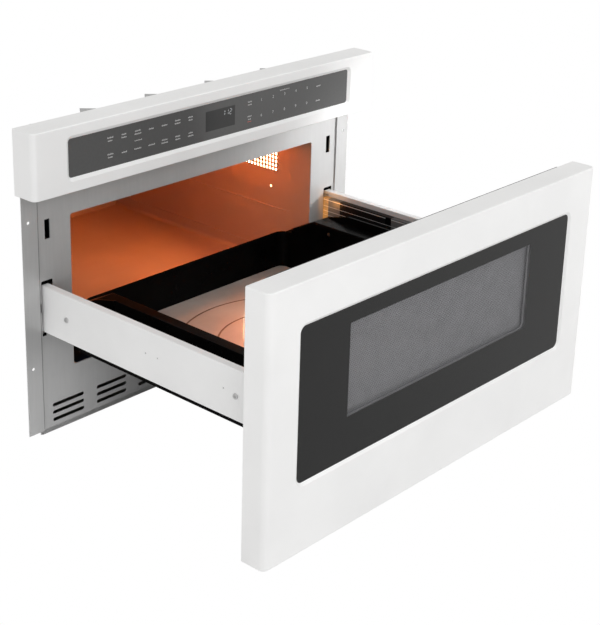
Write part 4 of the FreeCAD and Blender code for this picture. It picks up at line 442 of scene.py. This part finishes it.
DRESS = {
    FRONT_WHITE: ("control_bezel", "drawer_front"),
    PLATE_ZINC: ("front_plate",),
    RAIL_WHITE: ("rail_left", "rail_right"),
    SLIDE_BLACK: ("middle_slide_left", "middle_slide_right"),
    STEEL: ("fixed_slides", "inner_slides", "rail_brackets", "fan_motor", "drive_motor"),
    DARK_STEEL: ("cover_screws",),
    ZINC: ("outer_case", "rear_panel", "base_pan", "slide_brackets", "lamp_holder", "drive_stand",
           "capacitor_strap", "stirrer_motor", "inner_panel"),
    ALU: ("rail_screws", "stirrer_chamber", "waveguide", "stirrer_fan", "magnetron", "capacitor"),
    BLACK: ("switch_brackets", "hook_brackets", "display_module", "fan_frame", "gearbox",
            "interlock_switches", "inlet_gland"),
    SCREEN_EDGE: ("glass_frame",),
    DARK: ("choke_cover",),
    WHITE_PLASTIC: ("fan_wheel", "air_duct", "board_brackets", "latch_hook_left", "latch_hook_right"),
    ACETAL: ("drive_pinion", "drive_rack"),
    MICA: ("stirrer_cover",),
    RUBBER: ("floor_seal",),
    GREEN: ("control_board", "filter_board"),
    IRON: ("transformer_core",),
    COPPER: ("transformer_windings",),
    CLEAR: ("inner_glass",),
    PAN: ("drawer_pan", "side_cover_left", "side_cover_right"),
    CERAMIC: ("ceramic_floor",),
    LINER: ("cavity_liner",),
    TOUCH: ("control_glass",),
    WINDOW: ("window_glass",),
    SCREEN: ("window_screen",),
    glowing("lamp_glow", (1.0, 0.72, 0.38), 14.0): ("lamp_bulb",),
}
for material, names in DRESS.items():
    for name in names:
        slots = N[name].material_slots
        if slots:
            for each in slots:
                each.material = material
        else:
            N[name].data.materials.append(material)


# ---------------------------------------------------------------- pieces: marks on the touch glass
def mesh_object(name, points, faces, material):
    mesh = bpy.data.meshes.new(name)
    mesh.from_pydata([tuple(p) for p in points], [], faces)
    mesh.update()
    mesh.materials.append(material)
    made = bpy.data.objects.new(name, mesh)
    bpy.context.scene.collection.objects.link(made)
    return made


MM = 0.001
INK_Y = TOUCH_LO.y - 0.00008


class Marks:
    """Flat printed shapes on the touch glass, gathered into one mesh."""

    def __init__(self):
        self.points, self.faces = [], []

    def shape(self, corners):
        start = len(self.points)
        self.points.extend((x * MM, INK_Y, z * MM) for x, z in corners)
        self.faces.append(tuple(range(start, start + len(corners))))

    def bar(self, x, z, wide, tall):
        c = min(wide, tall) * 0.3
        a, b = wide / 2.0, tall / 2.0
        self.shape(((x - a + c, z - b), (x + a - c, z - b), (x + a, z - b + c), (x + a, z + b - c),
                    (x + a - c, z + b), (x - a + c, z + b), (x - a, z + b - c), (x - a, z - b + c)))

    def line(self, x, z, wide, tall, seed):
        """A row of small upright strokes, where the panel has a word."""
        at = x - wide / 2.0
        step = 0
        while at < x + wide / 2.0:
            stroke = 0.42 + 0.22 * ((seed * 7 + step * 5) % 3)
            high = tall * (1.0 if (seed + step * 3) % 4 == 0 else 0.72)
            self.bar(at + stroke / 2.0, z + (high - tall) / 2.0, stroke, high)
            at += stroke + 0.42
            step += 1

    def segments(self, x, z, digit, tall):
        """A seven-segment numeral."""
        slant = 0.08
        on = {0: "abcdef", 1: "bc", 2: "abged", 3: "abgcd", 4: "fgbc", 5: "afgcd", 6: "afgedc",
              7: "abc", 8: "abcdefg", 9: "abcdfg"}[digit]
        w, t = tall * 0.5, tall * 0.11
        h = tall / 2.0
        lines = {"a": ((0, h), (w, h)), "g": ((0, 0), (w, 0)), "d": ((0, -h), (w, -h)),
                 "f": ((0, 0), (0, h)), "b": ((w, 0), (w, h)), "e": ((0, -h), (0, 0)), "c": ((w, -h), (w, 0))}
        for key in on:
            (ax, az), (bx, bz) = lines[key]
            if az == bz:
                corners = ((ax + t, az - t / 2), (bx - t, bz - t / 2), (bx - t / 2, bz), (bx - t, bz + t / 2),
                           (ax + t, az + t / 2), (ax + t / 2, az))
            else:
                corners = ((ax - t / 2, az + t), (ax, az + t / 2), (ax + t / 2, az + t), (ax + t / 2, bz - t),
                           (ax, bz - t / 2), (ax - t / 2, bz - t))
            self.shape([(x + cx + slant * cz, z + cz) for cx, cz in corners])

    def build(self, name, material):
        made = mesh_object(name, self.points, self.faces, material)
        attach(made, BODY)
        return made


def numeral(text, x, z, tall, material):
    """A plain printed numeral in the default face, as a flat mesh."""
    curve = bpy.data.curves.new("numeral_" + text, "FONT")
    curve.body = text
    curve.size = tall * MM * 1.38
    curve.align_x = "CENTER"
    curve.align_y = "CENTER"
    curve.offset = -0.00002
    holder = bpy.data.objects.new("numeral_curve", curve)
    bpy.context.scene.collection.objects.link(holder)
    bpy.context.view_layer.update()
    mesh = bpy.data.meshes.new_from_object(holder)
    bpy.data.objects.remove(holder)
    mesh.transform(Matrix.Translation((x * MM, INK_Y, z * MM)) @ Matrix.Rotation(math.pi / 2.0, 4, "X"))
    mesh.materials.clear()
    mesh.materials.append(material)
    made = bpy.data.objects.new("key_" + text, mesh)
    bpy.context.scene.collection.objects.link(made)
    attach(made, BODY)


def touch_marks():
    ink = glowing("key_print", (0.62, 0.62, 0.62), 0.0)
    lit = glowing("clock_digits", (0.50, 0.52, 0.54), 0.15)
    red = glowing("red_print", (0.55, 0.10, 0.08), 0.0)
    upper, lower = 374.8, 354.3
    keys = Marks()
    widths = ((8.6, 7.0), (7.4, 8.0), (8.8, 10.4), (7.6, 0.0), (9.4, 0.0), (8.8, 9.2), (8.2, 6.4))
    below = ((9.0, 7.4), (8.4, 0.0), (11.4, 0.0), (9.8, 0.0), (9.2, 10.2), (8.4, 7.6), (6.4, 8.4))
    for column in range(7):
        x = -185.5 + column * 22.05
        for row, (z, table) in enumerate(((upper, widths), (lower, below))):
            first, second = table[column]
            if second:
                keys.line(x, z + 1.9, first, 2.0, column + row)
                keys.line(x, z - 1.9, second, 2.0, column + row + 3)
            else:
                keys.line(x, z, first, 2.0, column + row + 1)
    words = ((-141.0, 364.6, 11.0, 1.5, 2), (53.8, 376.7, 7.0, 2.0, 1), (53.8, 372.9, 6.6, 2.0, 4),
             (53.6, 357.2, 7.2, 2.0, 2), (53.6, 353.2, 5.2, 2.0, 0), (188.3, 374.5, 7.6, 2.0, 3),
             (188.3, 354.1, 7.8, 2.0, 5), (121.0, 381.6, 19.0, 1.5, 4))
    for word in words:
        keys.line(*word)
    keys.build("key_marks", ink)
    under = Marks()
    under.bar(53.6, 349.9, 7.6, 0.7)
    under.build("stop_mark", red)
    for texts, height in (("12345", 375.4), ("67890", 354.4)):
        for index, text in enumerate(texts):
            numeral(text, 76.0 + index * 22.42, height, 3.9, ink)
    clock = Marks()
    clock.segments(4.0, 370.6, 1, 7.0)
    clock.bar(8.9, 372.2, 0.7, 0.7)
    clock.bar(8.6, 369.0, 0.7, 0.7)
    clock.segments(10.6, 370.6, 1, 7.0)
    clock.segments(16.6, 370.6, 2, 7.0)
    clock.build("clock_digits", lit)
    pane = Marks()
    pane.shape(((-26.0, 351.2), (26.0, 351.2), (26.5, 351.7), (26.5, 377.1), (26.0, 377.6),
                (-26.0, 377.6), (-26.5, 377.1), (-26.5, 351.7)))
    glass = plastic("display_window", grey(0.030), grey(0.038), rough=(0.10, 0.16), grain=6.0, depth=0.02)
    window = pane.build("display_window", glass)
    window.location.y = 0.00004


touch_marks()


# ---------------------------------------------------------------- pieces: painted lamp light, painted shade sheets, stops
def block(name, low, high, material, body, bevel=0.0004):
    """A block with chamfered edges between two corners, in plate coordinates (millimetres)."""
    a = Vector(low) * MM + Vector((0, PLATE_Y, 0))
    b = Vector(high) * MM + Vector((0, PLATE_Y, 0))
    lo = Vector([min(p, q) for p, q in zip(a, b)])
    hi = Vector([max(p, q) for p, q in zip(a, b)])
    mesh = bmesh.new()
    made = bmesh.ops.create_cube(mesh, size=1.0)
    bmesh.ops.scale(mesh, vec=hi - lo, verts=made["verts"])
    bmesh.ops.translate(mesh, vec=(lo + hi) / 2.0, verts=made["verts"])
    offset = min(bevel, min(hi - lo) * 0.3)
    bmesh.ops.bevel(mesh, geom=mesh.edges[:], offset=offset, segments=2, affect="EDGES")
    data = bpy.data.meshes.new(name)
    mesh.to_mesh(data)
    mesh.free()
    data.materials.append(material)
    piece = bpy.data.objects.new(name, data)
    bpy.context.scene.collection.objects.link(piece)
    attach(piece, body)


def lamp_parts():
    """Glowing sheet behind the perforated patch, painted light for the lamp shining through it, and a glowing
    patch of painted light in the sensor hole.
    """
    x0, x1 = 222.4, 222.9
    lit = glowing("lamp_diffuser", (1.0, 0.80, 0.52), 12.0)
    block("lamp_diffuser", (x0, 64.0, 217.0), (x1, 132.0, 265.0), lit, BODY, 0.0002)
    warm = glowing("sensor_light", (1.0, 0.72, 0.38), 3.0)
    block("sensor_window", (x0, 73.0, 192.0), (x1, 81.0, 200.0), warm, BODY, 0.0002)


def slot_shade_sheets():
    """Dark sheets behind the plate round the slots of the rails and latches: painted shade that keeps the
    slots black.
    """
    rail_out = RAIL_HI.x / MM
    low, high = RAIL_LO.z / MM, RAIL_HI.z / MM
    for side, tag in ((-1, "left"), (1, "right")):
        foot = low - (12.0 if side > 0 else 3.0)
        y0, y1 = 1.2, 2.6
        block("slot_seal_top_" + tag, (side * 246.0, y0, high + 0.5), (side * 271.5, y1, high + 8.5),
              DULL_BLACK_AND_SHADE, BODY)
        block("slot_seal_side_" + tag, (side * (rail_out + 2.0), y0, foot), (side * 272.3, y1, high + 8.5),
              DULL_BLACK_AND_SHADE, BODY)
        block("latch_pocket_" + tag, (side * 249.8, 36.0, 250.0), (side * 262.0, 37.0, 288.0), DULL_BLACK_AND_SHADE, BODY)
        block("latch_wall_" + tag, (side * 262.0, 2.2, 250.0), (side * 263.0, 37.0, 288.0), DULL_BLACK_AND_SHADE, BODY)
        block("latch_roof_" + tag, (side * 249.8, 2.2, 284.0), (side * 262.0, 36.0, 285.0), DULL_BLACK_AND_SHADE, BODY)
    # A small black block on the plate's face, just below the left rail.
    block("slot_stop_left", (-267.4, -0.5, low - 5.2), (-261.8, 0.0, low - 0.9), DULL_BLACK_AND_SHADE, BODY, 0.0002)


def slide_stops():
    """Thin black pads on the inner faces of the middle slides, clear of the fixed ones."""
    inner = MIDDLE_LO.x / MM
    near, far = inner - 0.02, inner - 0.25
    for side, tag in ((-1, "left"), (1, "right")):
        block("slide_stop_" + tag, (side * near, -124.0, 178.0), (side * far, -114.0, 188.0),
              DULL_BLACK_AND_SHADE, "middle_slide_" + tag, 0.00005)


def fold_shade_lines():
    """Thin dark strip along the fold where each side flange steps out of the plate: a painted shade line."""
    edge = (PLATE_HI.x - 0.0221) / MM
    for side, tag in ((-1, "left"), (1, "right")):
        inset = 2.8 if side < 0 else 0.2
        block("bend_shade_" + tag, (side * (edge - inset), -0.25, PLATE_LO.z / MM + 0.5),
              (side * (edge - inset - 0.8), 0.0, BEZEL_LO.z / MM), FOLD_SHADE, BODY, 0.0001)


def mouth_sill():
    """Dark sheet on the cavity floor inside the mouth: painted shade for the floor that lies in the pan's
    shadow.
    """
    low, wide = LINER_LO.z / MM + 1.0, LINER_HI.x / MM - 4.0
    block("mouth_sill", (-wide, 1.4, low + 0.1), (wide, 64.0, low + 0.8), FLOOR_SHADE, BODY, 0.0002)


lamp_parts()
slot_shade_sheets()
slide_stops()
fold_shade_lines()
mouth_sill()


# ---------------------------------------------------------------- stage
def stage_white(name, one_sided):
    """White to the camera, and otherwise a pale floor. One-sided, it is white to the camera from its
    front only, and clear from behind and to all other light."""
    mat = bpy.data.materials.new(name)
    mat.use_nodes = True
    tree = mat.node_tree
    tree.nodes.clear()
    out = tree.nodes.new("ShaderNodeOutputMaterial")
    path = tree.nodes.new("ShaderNodeLightPath")
    white = tree.nodes.new("ShaderNodeEmission")
    mix = tree.nodes.new("ShaderNodeMixShader")
    if one_sided:
        side = tree.nodes.new("ShaderNodeNewGeometry")
        front = tree.nodes.new("ShaderNodeMath")
        front.operation = "SUBTRACT"
        front.use_clamp = True
        tree.links.new(path.outputs["Is Camera Ray"], front.inputs[0])
        tree.links.new(side.outputs["Backfacing"], front.inputs[1])
        other = tree.nodes.new("ShaderNodeBsdfTransparent")
        tree.links.new(front.outputs[0], mix.inputs[0])
    else:
        other = tree.nodes.new("ShaderNodeBsdfDiffuse")
        other.inputs["Color"].default_value = (0.8, 0.8, 0.8, 1.0)
        tree.links.new(path.outputs["Is Camera Ray"], mix.inputs[0])
    tree.links.new(other.outputs[0], mix.inputs[1])
    tree.links.new(white.outputs[0], mix.inputs[2])
    tree.links.new(mix.outputs[0], out.inputs["Surface"])
    return mat


def floor():
    half = 6.0
    made = mesh_object("floor", [(-half, -half, 0), (half, -half, 0), (half, half, 0), (-half, half, 0)],
                       [(0, 1, 2, 3)], stage_white("floor_white", False))
    made.location.z = min(0.0, BOX_AT_LOAD[0][2])


def cut_out_sheets():
    """White sheets in front of the case that hide it from a camera at the front left, as the
    photograph's cut-out does. They face that way, and from behind they are clear."""
    across = Vector((1.0, -1.0, 0.0)).normalized()
    points, faces = [], []

    def sheet(a, b, rise):
        start = len(points)
        points.extend((a, b, b + rise, a + rise))
        faces.append((start, start + 1, start + 2, start + 3))

    clear_by, upright, tall = 0.0006, 0.40, 0.62
    corner = Vector((CASE_LO.x - clear_by, PLATE_HI.y + clear_by, 0.001))
    sheet(corner - across * upright, corner, Vector((0, 0, tall)))
    rise, lean, pitch, past = 0.046, 0.032, 0.105, 0.08
    low, back = PLATE_HI.y + 0.002 + lean, CASE_HI.y
    top = CASE_HI.z + 0.0005
    diagonal = CASE_LO.x + low
    while diagonal < CASE_HI.x + back + pitch:
        right = min(CASE_HI.x + lean, diagonal - low)
        left = max(CASE_LO.x - past, diagonal - back - past)
        sheet(Vector((left, diagonal - left, top)), Vector((right, diagonal - right, top)),
              Vector((-lean, -lean, rise)))
        diagonal += pitch
    mesh_object("cut_out_sheets", points, faces, stage_white("sheet_white", True))


floor()
cut_out_sheets()


# ---------------------------------------------------------------- light, world and camera
def shine(name, data, at, aim, power):
    data.energy = power
    made = bpy.data.objects.new(name, data)
    made.location = at
    made.rotation_euler = (Vector(aim) - Vector(at)).to_track_quat("-Z", "Y").to_euler()
    bpy.context.scene.collection.objects.link(made)
    return made


def area(name, at, aim, size, power, colour=(1, 1, 1)):
    data = bpy.data.lights.new(name, "AREA")
    data.shape = "RECTANGLE"
    data.size, data.size_y = size
    data.color = colour
    return shine(name, data, at, aim, power)


def spot(name, at, aim, power, angle, radius):
    data = bpy.data.lights.new(name, "SPOT")
    data.spot_size = math.radians(angle)
    data.spot_blend = 1.0
    data.shadow_soft_size = radius
    return shine(name, data, at, aim, power)


def lights():
    area("key", (1.4, -2.6, 1.3), (0.0, -0.2, 0.2), (1.6, 1.6), 22.3)
    area("fill", (-2.3, -1.1, 0.85), (0.0, -0.2, 0.2), (1.4, 1.2), 9.4)
    area("low", (-1.5, -1.9, 0.22), (-0.25, -0.07, 0.12), (0.9, 0.36), 3.0)
    area("top", (0.0, -0.3, 2.6), (0.0, -0.2, 0.2), (2.4, 2.4), 6.5)
    spot("side", (0.50, -0.42, 0.30), (0.24, -0.075, 0.22), 3.9, 44.0, 0.03)
    spot("panel_end", (0.90, -1.60, 0.55), (0.30, -0.08, 0.30), 50.0, 11.0, 0.04)
    spot("corner", (-0.86, -0.78, 0.05), (-0.262, -0.07, 0.045), 18.0, 14.0, 0.02)
    lamp = PATCH + Vector((-0.006, 0.0, 0.0))
    aim = PATCH + Vector((-0.34, 0.10, 0.13))
    oven = area("cavity_light", lamp, aim, (0.066, 0.042), 1.4, (1.0, 0.35, 0.085))
    oven.data.spread = math.radians(180.0)
    oven.visible_glossy = False
    area("lamp_spill", (0.236, PLATE_Y - 0.012, 0.188), (0.30, PLATE_Y - 0.02, 0.188),
         (0.012, 0.030), 0.004, (1.0, 0.42, 0.10))


def world():
    """A near-neutral sky that the camera sees as plain white."""
    w = bpy.data.worlds.new("studio")
    bpy.context.scene.world = w
    w.use_nodes = True
    tree = w.node_tree
    tree.nodes.clear()
    out = tree.nodes.new("ShaderNodeOutputWorld")
    path = tree.nodes.new("ShaderNodeLightPath")
    seen = tree.nodes.new("ShaderNodeBackground")
    lit = tree.nodes.new("ShaderNodeBackground")
    mix = tree.nodes.new("ShaderNodeMixShader")
    either = tree.nodes.new("ShaderNodeMath")
    either.operation = "MAXIMUM"
    seen.inputs["Strength"].default_value = 1.0
    seen.inputs["Color"].default_value = (1, 1, 1, 1)
    lit.inputs["Color"].default_value = (1.0, 0.995, 0.985, 1.0)
    lit.inputs["Strength"].default_value = 0.68
    tree.links.new(path.outputs["Is Camera Ray"], either.inputs[0])
    tree.links.new(path.outputs["Is Transmission Ray"], either.inputs[1])
    tree.links.new(either.outputs[0], mix.inputs[0])
    tree.links.new(lit.outputs[0], mix.inputs[1])
    tree.links.new(seen.outputs[0], mix.inputs[2])
    tree.links.new(mix.outputs[0], out.inputs["Surface"])


def camera():
    """The picture's camera, with as much lens shift as its framing needs. Focal length and centre
    are in pixels of the 600 x 625 picture."""
    wide_px, tall_px, sensor = 600.0, 625.0, 36.0
    a, e, r = math.radians(-47.77), math.radians(19.77), math.radians(1.4)
    focal_px, centre_px = 1468.41, (281.0, 220.0)
    back = Vector((math.sin(a) * math.cos(e), -math.cos(a) * math.cos(e), math.sin(e)))
    right = Vector((math.cos(a), math.sin(a), 0.0))
    up = back.cross(right)
    right_r = right * math.cos(r) + up * math.sin(r)
    up_r = up * math.cos(r) - right * math.sin(r)
    data = bpy.data.cameras.new("camera")
    data.sensor_width = data.sensor_height = sensor
    data.lens = sensor * focal_px / tall_px
    data.shift_x = (wide_px / 2.0 - centre_px[0]) / tall_px
    data.shift_y = (centre_px[1] - tall_px / 2.0) / tall_px
    data.clip_end = 50.0
    made = bpy.data.objects.new("camera", data)
    place = Vector((-1.28479, -1.31083 + PLATE_Y, 0.87853))
    turn = Matrix((right_r, up_r, back)).transposed()
    made.matrix_world = Matrix.Translation(place) @ turn.to_4x4()
    bpy.context.scene.collection.objects.link(made)
    bpy.context.scene.camera = made


lights()
world()
camera()
bpy.context.scene.view_settings.view_transform = "Standard"
